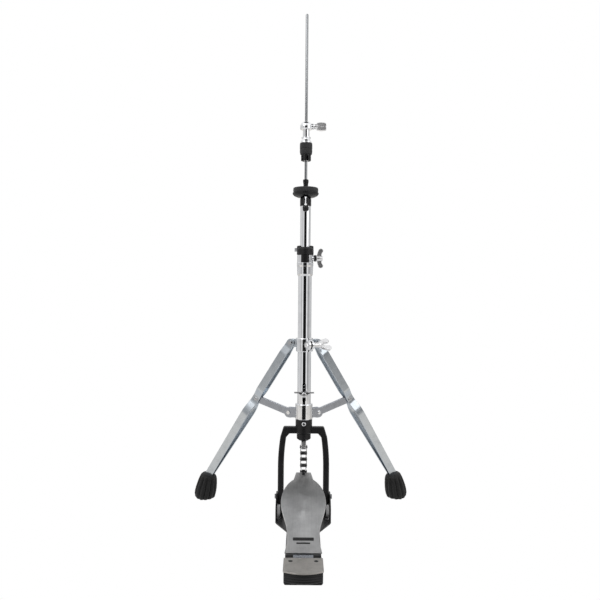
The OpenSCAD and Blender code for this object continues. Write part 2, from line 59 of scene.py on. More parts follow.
class Graph:
    """A node tree with short calls for the few nodes the finishes need."""

    def __init__(self, tree):
        self.t = tree
        self.t.nodes.clear()

    def node(self, kind, **kw):
        n = self.t.nodes.new(kind)
        for k, v in kw.items():
            if k in n.inputs and not hasattr(n, k):
                n.inputs[k].default_value = v
            else:
                setattr(n, k, v)
        return n

    def link(self, a, b):
        self.t.links.new(a, b)

    def coords(self, scale, turn=(0, 0, 0)):
        tc = self.node("ShaderNodeTexCoord")
        mp = self.node("ShaderNodeMapping")
        mp.inputs["Scale"].default_value = scale
        mp.inputs["Rotation"].default_value = turn
        self.link(tc.outputs["Object"], mp.inputs["Vector"])
        return mp.outputs["Vector"]

    def noise(self, vec, scale, detail=4.0, rough=0.55):
        n = self.node("ShaderNodeTexNoise")
        n.inputs["Scale"].default_value = scale
        n.inputs["Detail"].default_value = detail
        n.inputs["Roughness"].default_value = rough
        self.link(vec, n.inputs["Vector"])
        return n.outputs["Fac"]

    def ramp(self, fac, stops):
        r = self.node("ShaderNodeValToRGB")
        e = r.color_ramp.elements
        while len(e) < len(stops):
            e.new(0.5)
        for el, (p, c) in zip(e, stops):
            el.position = p
            el.color = (*c, 1) if hasattr(c, "__len__") else (c, c, c, 1)
        self.link(fac, r.inputs["Fac"])
        return r.outputs["Color"]

    def span(self, fac, lo, hi, a=0.0, b=1.0):
        m = self.node("ShaderNodeMapRange")
        for k, v in (("From Min", a), ("From Max", b), ("To Min", lo), ("To Max", hi)):
            m.inputs[k].default_value = v
        self.link(fac, m.inputs["Value"])
        return m.outputs["Result"]

    def math(self, op, a, b=None):
        m = self.node("ShaderNodeMath", operation=op)
        for i, v in enumerate((a, b)):
            if v is None:
                continue
            if isinstance(v, (int, float)):
                m.inputs[i].default_value = v
            else:
                self.link(v, m.inputs[i])
        return m.outputs[0]

    def bump(self, height, strength, distance, into=None):
        b = self.node("ShaderNodeBump")
        b.inputs["Strength"].default_value = strength
        b.inputs["Distance"].default_value = distance
        self.link(height, b.inputs["Height"])
        if into is not None:
            self.link(into, b.inputs["Normal"])
        return b.outputs["Normal"]


def material(name, metallic=0.0, **sockets):
    m = bpy.data.materials.new(name)
    m.use_nodes = True
    g = Graph(m.node_tree)
    out = g.node("ShaderNodeOutputMaterial")
    s = g.node("ShaderNodeBsdfPrincipled")
    g.link(s.outputs["BSDF"], out.inputs["Surface"])
    s.inputs["Metallic"].default_value = metallic
    for k, v in sockets.items():
        s.inputs[k.replace("_", " ")].default_value = v
    return m, g, s


def edge_wear(g, low, high):
    """Bright on convex edges, from the mesh's own pointiness."""
    geo = g.node("ShaderNodeNewGeometry")
    return g.span(geo.outputs["Pointiness"], 0.0, 1.0, low, high)


def plated(name, tone, rough_lo, rough_hi, streak=(1, 1, 1), streaks=0.0, spots=0.12):
    """Bright plating: slightly uneven polish, fine handling marks and a few dull spots."""
    m, g, s = material(name, 1.0)
    v = g.coords((1, 1, 1))
    cloud = g.noise(v, 38.0, 5.0)
    fine = g.noise(g.coords(streak), 900.0, 3.0, 0.7)
    mixed = g.math("ADD", g.math("MULTIPLY", cloud, 0.65), g.math("MULTIPLY", fine, 0.35))
    g.link(g.span(mixed, rough_lo, rough_hi, 0.3, 0.72), s.inputs["Roughness"])
    dark = tuple(c * (1.0 - spots) for c in tone)
    g.link(g.ramp(g.noise(v, 70.0, 6.0, 0.6), [(0.30, dark), (0.52, tone)]), s.inputs["Base Color"])
    if streaks:
        g.link(g.bump(fine, streaks, 0.0002), s.inputs["Normal"])
    return m


def dull(name, tone, lift, rough, grain, depth, sheen=0.0, spread=0.35, wear=None):
    """Black coats, plastics and rubber: a broad mottle, a fine grain and polished high spots."""
    m, g, s = material(name, 0.0, Specular_IOR_Level=0.3)
    v = g.coords((1, 1, 1))
    broad = g.noise(v, 45.0, 5.0)
    fine = g.noise(v, grain, 4.0, 0.65)
    light = tuple(c + lift for c in tone)
    colour = g.ramp(broad, [(0.5 - spread / 2, tone), (0.5 + spread / 2, light)])
    if wear:
        mix = g.node("ShaderNodeMix", data_type="RGBA")
        g.link(edge_wear(g, 0.53, 0.62), mix.inputs["Factor"])
        g.link(colour, mix.inputs[6])
        mix.inputs[7].default_value = (*wear, 1)
        colour = mix.outputs[2]
    g.link(colour, s.inputs["Base Color"])
    g.link(g.span(fine, rough - 0.08, rough + 0.1, 0.25, 0.75), s.inputs["Roughness"])
    g.link(g.bump(fine, depth, 0.0004), s.inputs["Normal"])
    if sheen:
        s.inputs["Sheen Weight"].default_value = sheen
        s.inputs["Sheen Roughness"].default_value = 0.5
    return m


def felt_material():
    m, g, s = material("felt_charcoal", 0.0, Roughness=0.95)
    v = g.coords((1, 1, 1))
    tuft = g.noise(v, 420.0, 6.0, 0.75)
    strand = g.noise(g.coords((1, 1, 4)), 1500.0, 3.0, 0.7)
    both = g.math("ADD", g.math("MULTIPLY", tuft, 0.6), g.math("MULTIPLY", strand, 0.4))
    g.link(g.ramp(both, [(0.32, (0.012, 0.012, 0.013)), (0.68, (0.055, 0.055, 0.058))]),
           s.inputs["Base Color"])
    g.link(g.bump(both, 0.9, 0.0007), s.inputs["Normal"])
    s.inputs["Sheen Weight"].default_value = 0.35
    s.inputs["Sheen Roughness"].default_value = 0.6
    return m


def board_material():
    """Brushed steel footboard: lines along its length, shoe scuffs, and a darker ball area."""
    m, g, s = material("board_brushed", 1.0)
    lo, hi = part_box("footboard")
    slope = math.atan2(hi.z - lo.z, hi.y - lo.y)
    turned = g.coords((1, 1, 1), (-slope, 0, 0))
    lines = g.node("ShaderNodeMapping")
    lines.inputs["Scale"].default_value = (1.0, 0.025, 0.2)
    g.link(turned, lines.inputs["Vector"])
    brush = g.noise(lines.outputs["Vector"], 1900.0, 4.0, 0.8)
    coarse = g.noise(lines.outputs["Vector"], 420.0, 3.0, 0.6)
    scuff = g.noise(turned, 30.0, 6.0, 0.62)
    sep = g.node("ShaderNodeSeparateXYZ")
    tc = g.node("ShaderNodeTexCoord")
    g.link(tc.outputs["Object"], sep.inputs["Vector"])
    along = g.span(sep.outputs["Y"], 0.0, 1.0, lo.y, hi.y)
    zone = g.ramp(along, [(0.0, 0.52), (0.25, 0.66), (0.42, 0.72), (0.56, 0.68), (0.68, 0.50),
                          (0.78, 0.46), (0.9, 0.46), (1.0, 0.48)])
    marks = g.ramp(scuff, [(0.33, 0.74), (0.62, 1.0)])
    grain = g.ramp(g.math("ADD", g.math("MULTIPLY", brush, 0.6), g.math("MULTIPLY", coarse, 0.4)),
                   [(0.32, 0.80), (0.66, 1.0)])
    tone = zone
    for layer in (marks, grain):
        mix = g.node("ShaderNodeMix", data_type="RGBA", blend_type="MULTIPLY")
        mix.inputs["Factor"].default_value = 1.0
        g.link(tone, mix.inputs[6])
        g.link(layer, mix.inputs[7])
        tone = mix.outputs[2]
    g.link(tone, s.inputs["Base Color"])
    g.link(g.span(scuff, 0.30, 0.46, 0.3, 0.7), s.inputs["Roughness"])
    s.inputs["Anisotropic"].default_value = 0.5
    g.link(g.bump(brush, 0.22, 0.0003), s.inputs["Normal"])
    return m


MATERIALS = {
    "chrome": plated("chrome_polished", (0.90, 0.91, 0.93), 0.02, 0.07),
    "chrome_soft": plated("chrome_cast", (0.84, 0.85, 0.87), 0.09, 0.22, spots=0.2),
    "leg": plated("leg_zinc", (0.54, 0.58, 0.62), 0.16, 0.27, (1, 1, 0.05), 0.012, 0.12),
    "brace": plated("brace_zinc", (0.40, 0.42, 0.46), 0.22, 0.34, (0.1, 1, 1), 0.012, 0.14),
    "grip": plated("chrome_grip", (0.88, 0.88, 0.89), 0.27, 0.38, spots=0.25),
    "rod": plated("rod_ground", (0.32, 0.33, 0.34), 0.14, 0.22, spots=0.06),
    "steel": plated("plain_steel", (0.55, 0.56, 0.58), 0.18, 0.34, spots=0.25),
    "heel": plated("heel_cap_steel", (0.44, 0.42, 0.395), 0.28, 0.42, (1, 0.04, 1), 0.05, 0.2),
    "board": board_material(),
    "coat": dull("black_powder_coat", (0.011, 0.011, 0.012), 0.012, 0.36, 1300.0, 0.35,
                 wear=(0.06, 0.06, 0.062)),
    "plastic": dull("black_plastic", (0.010, 0.010, 0.011), 0.010, 0.30, 1600.0, 0.18,
                    wear=(0.04, 0.04, 0.042)),
    "rubber": dull("black_rubber", (0.010, 0.010, 0.010), 0.014, 0.58, 900.0, 0.5, 0.12,
                   wear=(0.045, 0.045, 0.045)),
    "chain": dull("chain_blackened", (0.018, 0.018, 0.019), 0.03, 0.26, 700.0, 0.3,
                  wear=(0.16, 0.16, 0.165)),
    "badge": dull("badge_print", (0.012, 0.012, 0.012), 0.01, 0.42, 1500.0, 0.1),
    "felt": felt_material(),
}

FINISH = {"chrome": "chrome", "zinc": "leg", "brushed": "board", "black_coat": "coat", "rubber": "rubber",
          "black_plastic": "plastic", "felt": "felt", "steel": "steel", "heel_cap": "heel"}


# ---------- mesh helpers (local sizes in mm)

MM = 0.001


def box_mm(node):
    lo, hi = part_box(node)
    return lo / MM, hi / MM


def finish_mesh(obj, angle=32.0):
    obj.data.shade_smooth()
    obj.data.set_sharp_from_angle(angle=math.radians(angle))
    return obj


def from_bmesh(name, bm, place=None, angle=32.0):
    bmesh.ops.remove_doubles(bm, verts=bm.verts, dist=1e-4)
    bmesh.ops.recalc_face_normals(bm, faces=bm.faces)
    if place is not None:
        bmesh.ops.transform(bm, matrix=place, verts=bm.verts)
    bmesh.ops.scale(bm, vec=(MM, MM, MM), verts=bm.verts)
    me = bpy.data.meshes.new(name)
    bm.to_mesh(me)
    bm.free()
    obj = bpy.data.objects.new(name, me)
    bpy.context.scene.collection.objects.link(obj)
    return finish_mesh(obj, angle)


def fillet(pts, radius, steps=4, closed=True):
    """The same outline with its corners rounded; radius is one number or one per corner."""
    n = len(pts)
    out = []
    for i, p in enumerate(pts):
        r = radius[i] if hasattr(radius, "__len__") else radius
        if r <= 0 or (not closed and i in (0, n - 1)):
            out.append(tuple(p))
            continue
        p = Vector(p)
        a = (Vector(pts[i - 1]) - p)
        b = (Vector(pts[(i + 1) % n]) - p)
        la, lb = a.length, b.length
        if la < 1e-6 or lb < 1e-6:
            out.append(tuple(p))
            continue
        a, b = a / la, b / lb
        half = a.angle(b, math.pi) / 2
        if half > math.radians(88):
            out.append(tuple(p))
            continue
        cut = min(r / math.tan(half), la * 0.48, lb * 0.48)
        s, e = p + a * cut, p + b * cut
        for k in range(steps + 1):
            t = k / steps
            out.append(tuple(s * (1 - t) ** 2 + p * 2 * t * (1 - t) + e * t * t))
    return out


def lathe(name, profile, place=None, segs=72, closed=True, angle=32.0, wave=None):
    """A profile of (radius, height) turned round +Z.

    A closed profile makes a ring, an open one ends on the axis. wave(angle, radius, height) may give
    the radius a pattern of flutes or ribs.
    """
    bm = bmesh.new()
    rows = []
    for r, z in profile:
        if r < 1e-5:
            rows.append([bm.verts.new((0, 0, z))] * segs)
            continue
        row = []
        for k in range(segs):
            t = 2 * math.pi * k / segs
            q = wave(t, r, z) if wave else r
            row.append(bm.verts.new((q * math.cos(t), q * math.sin(t), z)))
        rows.append(row)
    pairs = list(zip(rows, rows[1:] + ([rows[0]] if closed else [])))
    for a, b in pairs:
        for k in range(segs):
            j = (k + 1) % segs
            quad = [a[k], a[j], b[j], b[k]]
            seen = []
            for v in quad:
                if v not in seen:
                    seen.append(v)
            if len(seen) > 2:
                bm.faces.new(seen)
    return from_bmesh(name, bm, place, angle)


def prism(name, outline, z0, z1, place=None, bevel=0.0, seg=3, angle=32.0, holes=()):
    """An outline in X-Y made solid from z0 to z1, with rounded edges and optional round holes (x, y, r)."""
    bm = bmesh.new()
    low = [bm.verts.new((x, y, z0)) for x, y in outline]
    bm.faces.new(low)
    top = bmesh.ops.extrude_face_region(bm, geom=bm.faces[:])
    bmesh.ops.translate(bm, vec=(0, 0, z1 - z0),
                        verts=[v for v in top["geom"] if isinstance(v, bmesh.types.BMVert)])
    bmesh.ops.recalc_face_normals(bm, faces=bm.faces)
    obj = from_bmesh(name, bm, place, angle)
    if bevel:
        soften(obj, bevel, seg)
    for i, (x, y, r) in enumerate(holes):
        tool = lathe(f"{name}_hole{i}", [(0, z0 - 5), (r, z0 - 5), (r, z1 + 5), (0, z1 + 5)],
                     (place or Matrix()) @ Matrix.Translation((x, y, 0)), 48, False)
        combine(obj, "DIFFERENCE", tool)
    return obj


def soften(obj, width, seg=3, angle=30.0):
    """Rounds the sharp edges and keeps the flats flat; the result is applied."""
    m = obj.modifiers.new("round", "BEVEL")
    m.width = width * MM
    m.segments = seg
    m.limit_method = "ANGLE"
    m.angle_limit = math.radians(angle)
    m.use_clamp_overlap = True
    m.harden_normals = False
    return apply(obj)


def apply(obj):
    """Turns an object's modifiers into its mesh."""
    dg = bpy.context.evaluated_depsgraph_get()
    made = bpy.data.meshes.new_from_object(obj.evaluated_get(dg))
    obj.modifiers.clear()
    obj.data = made
    return finish_mesh(obj)


def combine(obj, how, *tools):
    """Joins or cuts with each tool in turn, with the exact solver where the fast one leaves nothing."""
    for t in tools:
        whole = obj.data
        for solver in ("MANIFOLD", "EXACT"):
            obj.data = whole
            m = obj.modifiers.new("join", "BOOLEAN")
            m.operation = how
            m.solver = solver
            m.object = t
            apply(obj)
            if obj.data.vertices:
                break
        bpy.data.objects.remove(t, do_unlink=True)
    return obj


def loft(name, rows, place=None, angle=32.0):
    """A skin through rows of points, with a flat end on the first row and on the last."""
    bm = bmesh.new()
    rows = [[bm.verts.new(p) for p in row] for row in rows]
    for a, b in zip(rows, rows[1:]):
        for k in range(len(a)):
            j = (k + 1) % len(a)
            bm.faces.new([a[k], a[j], b[j], b[k]])
    bm.faces.new(rows[0])
    bm.faces.new(rows[-1])
    return from_bmesh(name, bm, place, angle)


def tube_along(name, points, radius, place=None, sides=16):
    """A round wire of one radius through the points."""
    pts = [Vector(p) for p in points]
    spokes = [2 * math.pi * k / sides for k in range(sides)]
    rings = []
    up = Vector((0, 0, 1))
    for i, p in enumerate(pts):
        d = (pts[min(i + 1, len(pts) - 1)] - pts[max(i - 1, 0)]).normalized()
        if abs(d.dot(up)) > 0.98:
            up = Vector((1, 0, 0))
        x = d.cross(up).normalized()
        y = x.cross(d).normalized()
        rings.append([p + (x * math.cos(a) + y * math.sin(a)) * radius for a in spokes])
    return loft(name, rings, place)


def resample(line, step):
    """The same line with points about one step apart."""
    out = []
    for p, q in zip(line, line[1:]):
        k = max(1, int(math.dist(p, q) / step))
        out += [(p[0] + (q[0] - p[0]) * i / k, p[1] + (q[1] - p[1]) * i / k) for i in range(k)]
    return out + [line[-1]]


taken = set()


def done(obj, mat, body, slot, *nodes):
    """Hands a piece to the frame. Of the pieces named for one CAD node, the first replaces it."""
    nodes = [n for n in nodes if n not in taken]
    taken.update(nodes)
    obj.data.materials.clear()
    obj.data.materials.append(MATERIALS[mat])
    flat = obj.modifiers.new("flats", "WEIGHTED_NORMAL")
    flat.keep_sharp = True
    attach(obj, body)
    if nodes:
        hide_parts(*nodes)
    return obj


def axes(origin, z_axis, x_hint=(1, 0, 0)):
    """A placement (mm) whose +Z is z_axis and whose +X is near x_hint."""
    z = Vector(z_axis).normalized()
    x = Vector(x_hint)
    x = (x - z * x.dot(z)).normalized()
    y = z.cross(x)
    m = Matrix((x, y, z)).transposed().to_4x4()
    m.translation = Vector(origin)
    return m


def sideways(origin):
    """A placement whose +Z runs along the stand's X, from left to right."""
    return axes(origin, (1, 0, 0), (0, 0, -1))


# ---------- CAD nodes: soft edges for any that stay visible

slot_of = {s["node"]: s["material_slot"] for s in frame["record"]["subparts"]}
for name, obj in frame["nodes"].items():
    key = FINISH[slot_of[name]]
    obj.data.materials.clear()
    obj.data.materials.append(MATERIALS[key])
    weld = obj.modifiers.new("weld", "WELD")
    weld.merge_threshold = 0.00001
    bev = obj.modifiers.new("round", "BEVEL")
    bev.width = 0.0003
    bev.segments = 2
    bev.limit_method = "ANGLE"
    bev.angle_limit = math.radians(35)
    flat = obj.modifiers.new("flats", "WEIGHTED_NORMAL")
    flat.keep_sharp = True

# ---------- shapes used by several pieces

SPIN = Matrix.Rotation(math.pi / 2, 4, "X")


def arc(cx, cy, r, a0, a1, n):
    return [(cx + r * math.cos(math.radians(a0 + (a1 - a0) * k / n)),
             cy + r * math.sin(math.radians(a0 + (a1 - a0) * k / n))) for k in range(n + 1)]


def link(length, r, waist):
    """A flat link from (0, 0) to (length, 0), narrower in the middle."""
    top = [(r * math.cos(math.pi - k * math.pi / 18), r * math.sin(math.pi - k * math.pi / 18))
           for k in range(10)]
    top += [(length * k / 10, r - (r - waist) * math.sin(math.pi * k / 10) ** 2) for k in range(1, 10)]
    top += [(length + r * math.cos(math.pi / 2 - k * math.pi / 18),
             r * math.sin(math.pi / 2 - k * math.pi / 18)) for k in range(10)]
    return top + [(x, -y) for x, y in reversed(top[1:-1])]


def turned(name, profile, radii, segs):
    """A ring turned round the column's axis, with its profile's corners rounded."""
    return lathe(name, fillet(profile, radii), None, segs)


def ring(name, r_out, r_in, z0, z1, edge=0.5, place=None, segs=72):
    return lathe(name, fillet([(r_in, z0), (r_out, z0), (r_out, z1), (r_in, z1)], edge), place, segs)


def plug(name, pts, edge=0.5, place=None, segs=72):
    """A solid turned shape: the profile starts and ends on the axis."""
    return lathe(name, fillet(pts, edge, 5, False), place, segs, False)


def rod(name, r, z0, z1, place=None, edge=0.5, segs=48):
    return plug(name, [(0, z0), (r, z0), (r, z1), (0, z1)], edge, place, segs)


def hexagon(across, turn=0.0):
    return [(across / math.sqrt(3) * math.cos(math.radians(60 * k + turn)),
             across / math.sqrt(3) * math.sin(math.radians(60 * k + turn))) for k in range(6)]


def nut(name, across, z0, z1, place=None, turn=0.0):
    """A hexagon with its corners turned off."""
    body = prism(name, hexagon(across, turn), z0, z1, place)
    r = across / math.sqrt(3)
    lens = plug(name + "_lens", [(0, z0 - 0.01), (r * 0.93, z0 - 0.01), (r * 1.02, z0 + 0.9),
        (r * 1.02, z1 - 0.9), (r * 0.90, z1 + 0.01), (0, z1 + 0.01)], 0.1, place)
    combine(body, "INTERSECT", lens)
    return soften(body, 0.25, 2, 25)


def thread(name, r, z0, z1, pitch, place=None, core=0.86):
    """A turned bar with even thread rings."""
    pts = [(0, z0), (r * core, z0)]
    n = max(2, int((z1 - z0) / pitch))
    step = (z1 - z0) / n
    for k in range(n):
        z = z0 + k * step
        pts += [(r * core, z + step * 0.12), (r, z + step * 0.42), (r, z + step * 0.58),
                (r * core, z + step * 0.88)]
    pts += [(r * core, z1), (0, z1)]
    return lathe(name, pts, place, 40, False, 60.0)


def grip(name, hub, hub_h, reach, lift, thick, place, waist=0.62, tip=5.0, base=None):
    """A winged grip along +Z: a rounded hub and two lobed wings."""
    body = plug(name, [(0, 0), (hub, 0), (hub, hub_h * 0.45), (hub * 0.80, hub_h), (0, hub_h)],
                [0, 1.2, 2.5, 2.0, 0], place)
    base = base or hub_h * 0.36
    for s in (-1, 1):
        a = Vector((s * hub * 0.25, hub_h * 0.48))
        b = Vector((s * (reach - tip), lift))
        d = (b - a).normalized()
        n = Vector((-d.y, d.x))
        bow = (b - a).length * 0.10 * s
        left, right = [], []
        for k in range(13):
            t = k / 12
            c = a.lerp(b, t) - n * bow * math.sin(math.pi * t)
            h = base * (1 - t) + tip * t - (1 - waist) * tip * math.sin(math.pi * t)
            left.append(c + n * h)
            right.append(c - n * h)
        end = math.degrees(math.atan2(d.y, d.x))
        cap = arc(b.x, b.y, tip, end + 80, end - 80, 12)
        wing = prism(f"{name}_wing{s}",
                     [tuple(p) for p in left[:-1]] + cap + [tuple(p) for p in reversed(right[:-1])],
                     -thick / 2, thick / 2, place @ SPIN, thick * 0.44, 5)
        combine(body, "UNION", wing)
    return body


def slab(name, pts, a, b, bevel=0.8, edge=2.0, seg=3):
    """An outline in Y-Z made solid from x = a to x = b."""
    place = axes((a, 0, 0), (1, 0, 0), (0, 1, 0))
    return prism(name, fillet(pts, edge), 0, b - a, place, bevel, seg)


def tab(x0, x1, r, start=None):
    """The outline of a flat ear from x0 out to a round end of radius r at x1; start reshapes its foot."""
    return (start or [(x0, -r)]) + [(x1, -r)] + arc(x1, 0, r, -84, 84, 16) + [(x1, r), (x0, r)]


def joint_mm(name):
    return Vector(JOINTS[name]["pos_m"]) / MM


def band(name, outer, inner, depth, edge, place=None):
    """A bar of rounded section between two matching lines drawn in X-Z; its depth runs along Y."""
    rows = []
    for (ox, oz), (ix, iz) in zip(outer, inner):
        o, i = Vector((ox, 0, oz)), Vector((ix, 0, iz))
        w = (o - i).length
        d = (o - i) / w
        c = (o + i) / 2
        flat = [(-w / 2, -depth / 2), (w / 2, -depth / 2), (w / 2, depth / 2), (-w / 2, depth / 2)]
        rows.append([c + d * u + Vector((0, v, 0)) for u, v in fillet(flat, edge, 4)])
    return loft(name, rows, place, 40.0)


# ---------- column

lo, hi = box_mm("lower_tube")
r = (hi.x - lo.x) / 2
spring_z = joint_mm("spring_screw_turn").z
tube = ring("lower_tube_drawn", r, r - 1.6, lo.z, hi.z, 0.35, None, 112)
cutter = prism("slot_cut", link(33, 3.75, 3.75), 0, 14,
               axes((0, lo.y - 2, spring_z - 13), (0, 1, 0), (0, 0, 1)))
combine(tube, "DIFFERENCE", cutter)
done(tube, "chrome", "stand", "chrome", "lower_tube")

lo, hi = box_mm("upper_tube")
r = (hi.x - lo.x) / 2
done(ring("upper_tube_drawn", r, r - 1.6, lo.z, hi.z, 0.35, None, 112), "chrome", "upper_column",
     "chrome", "upper_tube")

lo, hi = box_mm("tube_bushing")
bush = turned("bushing_collar", [(11.16, lo.z), (12.68, lo.z), (12.68, hi.z - 4), (hi.x, hi.z - 4),
    (hi.x, hi.z), (11.16, hi.z)], 0.4, 80)
done(bush, "plastic", "stand", "black_plastic", "tube_bushing")

lo, hi = box_mm("tube_clamp")
rc = -lo.x
clamp = turned("clamp_casting",
               [(14.32, lo.z + 1.5), (15.3, lo.z), (rc - 1.0, lo.z + 4.5), (rc - 0.5, lo.z + 20),
                (rc, lo.z + 22.8), (rc, lo.z + 28.5), (rc - 0.5, lo.z + 29.6), (rc - 0.7, hi.z),
                (14.4, hi.z), (14.4, hi.z - 6.5)], [0.4, 1.2, 3, 2, 0.7, 0.8, 0.5, 1.6, 0.5, 0], 96)
boss = plug("clamp_boss", [(0, 0), (6.5, 0), (6.5, 8.6), (0, 8.6)], [0, 0, 1.0, 0],
            sideways((10.4, 0, joint_mm("height_nut_turn").z)))
combine(clamp, "UNION", boss)
cut = prism("clamp_gap", [(-8.7, -40), (8.7, -40), (8.7, -8), (-8.7, -8)], lo.z + 28.7, hi.z + 5)
combine(clamp, "DIFFERENCE", cut)
done(clamp, "chrome_soft", "stand", "chrome", "tube_clamp")

lo, hi = box_mm("clamp_insert")
outer = arc(0, 0, 17.7, -90 - 30, -90 + 30, 14)
inner = arc(0, 0, 14.4, -90 + 36, -90 - 36, 14)
done(prism("clamp_liner", outer + inner, lo.z, hi.z, None, 1.3, 4), "plastic", "stand", "black_plastic",
     "clamp_insert")

lo, hi = box_mm("clamp_stud")
nz = joint_mm("height_nut_turn").z
along_x = sideways((0, 0, nz))
done(thread("clamp_stud_threaded", 3.0, lo.x, hi.x, 1.0, along_x), "steel", "stand", "steel",
     "clamp_stud")
done(ring("clamp_washer", 7.0, 3.02, 19.0, 24.0, 0.9, along_x), "plastic", "stand", "black_plastic")
lo, hi = box_mm("height_wing_nut")
done(grip("height_nut_winged", 7.0, hi.x - lo.x - 1.0, (hi.z - lo.z) / 2, 9.0, 8.0,
          sideways((lo.x, 0, nz)), 0.80, 5.3, 6.2),
     "grip", "height_nut", "chrome", "height_wing_nut")

lo, hi = box_mm("memory_lock")
lock = turned("lock_body", [(11.16, lo.z), (18.0, lo.z), (18.0, lo.z + 12.0), (15.6, lo.z + 16.5),
                            (11.16, lo.z + 16.5)], [0.4, 1.2, 2.0, 2.0, 0.4], 80)
for s in (-1, 1):
    lobe = plug(f"lock_lobe{s}", [(0, lo.z + 2), (7.4, lo.z + 2), (7.4, hi.z - 1.0), (5.0, hi.z),
        (0, hi.z)], [0, 1, 5, 2, 0], Matrix.Translation((s * 10.4, 0, 0)))
    combine(lock, "UNION", lobe)
combine(lock, "DIFFERENCE", rod("lock_bore", 11.16, lo.z - 5, hi.z + 5, None, 0, 80))
done(lock, "coat", "height_lock", "black_coat", "memory_lock")
lo, hi = box_mm("lock_screw")
screw = rod("lock_screw_drive", 4.0, 0, 5.5,
            axes((lo.x + 5.5, 0, (lo.z + hi.z) / 2), (-1, 0, 0), (0, 0, 1)), 0.8)
combine(screw, "UNION", rod("lock_shank", 2.5, 0, 8,
                            axes((lo.x + 11, 0, (lo.z + hi.z) / 2), (-1, 0, 0), (0, 0, 1)), 0.2))
combine(screw, "DIFFERENCE", prism("lock_key", hexagon(3.6), 3.0, 9,
    axes((lo.x + 5.5, 0, (lo.z + hi.z) / 2), (-1, 0, 0), (0, 0, 1))))
done(screw, "steel", "height_lock", "steel", "lock_screw")

# ---------- cymbal seat

lo, hi = box_mm("seat_base")
base_z = hi.z - 17.7
seat = turned("seat_post", [(6.6, base_z), (12.0, base_z), (12.0, base_z + 14.6), (11.0, hi.z),
                            (6.6, hi.z)], [0.3, 0.8, 1.0, 0.8, 0.3], 72)
lug = prism("seat_lug", arc(0, -18, 5.9, 180, 360, 20) + [(5.9, -4), (-5.9, -4)], base_z + 4, base_z + 16,
            None, 1.1)
combine(seat, "UNION", lug)
rear = slab("seat_rear", [(4, base_z + 7), (16, base_z + 7), (19.8, base_z + 8.5), (19.8, base_z + 13.5),
                          (16, base_z + 15), (4, base_z + 15)], -6, 6, 0.7, 2.0)
combine(seat, "UNION", rear)
combine(seat, "DIFFERENCE", prism("seat_slit",
    [(-3.05, -30), (3.05, -30), (3.05, -18), *arc(0, -18, 3.05, 0, 180, 12)[1:-1], (-3.05, -18)],
    base_z - 5, hi.z + 5))
done(seat, "plastic", "upper_column", "black_plastic", "seat_base")

lo, hi = box_mm("seat_sleeve")
z = hi.z - 39.7
sleeve = turned("seat_sleeve_waisted", [(4, z - 9), (5.7, z - 9), (5.7, z), (6.0, z + 0.6), (6.0, z + 8),
    (5.15, z + 17), (5.0, z + 25), (5.35, z + 31), (6.0, z + 34), (6.0, z + 38.4), (4.9, hi.z),
    (4, hi.z)], [0.2, 0.2, 0.1, 0.2, 2, 3, 3, 2, 1, 0.8, 0.3, 0.2], 64)
done(sleeve, "plastic", "upper_column", "black_plastic", "seat_sleeve")

lo, hi = box_mm("seat_cup")
rim = hi.x
low = hi.z - 10.4
bowl = turned("seat_bowl", [(9.1, low), (12.4, low), (18.5, low + 1.0), (25.0, low + 4.0),
                            (rim - 0.3, low + 7.2), (rim, low + 9.2), (rim, hi.z), (rim - 1.3, hi.z),
                            (rim - 1.6, hi.z - 1.2), (9.1, hi.z - 1.2)],
                            [0.4, 0.8, 4, 5, 1.5, 0.5, 0.5, 0.5, 0.5, 0.4], 96)
for s in (-1, 1):
    ear = slab(f"seat_ear{s}", [(12, low + 2), (20, low + 2), (20, lo.z + 1), (17.5, lo.z), (14.5, lo.z),
        (12, lo.z + 1)], s * 7.9 - 1.5, s * 7.9 + 1.5, 0.5, 1.6)
    combine(bowl, "UNION", ear)
done(bowl, "plastic", "cymbal_seat", "black_plastic", "seat_cup")
lo, hi = box_mm("seat_felt")
done(turned("seat_felt_disc", [(9.0, lo.z), (hi.x - 0.5, lo.z), (hi.x, (lo.z + hi.z) / 2),
    (hi.x - 0.4, hi.z), (9.0, hi.z)], [0.8, 1.6, 4, 2.2, 1.2], 96),
     "felt", "cymbal_seat", "felt", "seat_felt")

lo, hi = box_mm("tilt_screw")
ty = (lo.y + hi.y) / 2
up_screw = Matrix.Translation((0, ty, 0))
done(thread("tilt_screw_threaded", 2.95, lo.z, hi.z - 0.1, 1.0, up_screw, 0.93), "chrome",
     "tilt_adjuster", "chrome", "tilt_screw")
lo, hi = box_mm("tilt_knob")


def flute(count, depth):
    """Even grooves for a lathe's wave, fading out towards the axis."""
    return lambda t, r, z: r - depth * max(0.0, math.cos(count * t)) ** 3 * min(1.0, r / 5.0)


knob = lathe("tilt_knob_fluted",
             fillet([(0, lo.z), (4.6, lo.z), (6.4, lo.z + 3.2), (6.5, lo.z + 8), (5.6, hi.z - 1.0),
                     (4.6, hi.z), (0, hi.z)], [0, 2, 3, 3, 2, 0.8, 0], 5, False), up_screw, 96, False,
                     50.0, flute(8, 0.9))
done(knob, "plastic", "tilt_adjuster", "black_plastic", "tilt_knob")

# ---------- pull rod, spring and clutch

lo, hi = box_mm("upper_pull_rod")
done(plug("upper_rod_ground", [(0, lo.z), (3.0, lo.z), (3.0, hi.z - 1.2), (1.9, hi.z), (0, hi.z)],
          [0, 0.2, 0.6, 0.5, 0], None, 48), "rod", "pull_rod", "chrome", "upper_pull_rod")
lo, hi = box_mm("lower_pull_rod")
done(rod("lower_rod_ground", 3.0, lo.z, hi.z, None, 0.2), "rod", "pull_rod", "steel", "lower_pull_rod")
lo, hi = box_mm("rod_coupler")
coupler = nut("rod_coupler_hex", 9.9, lo.z, hi.z)
done(coupler, "steel", "pull_rod", "steel", "rod_coupler")

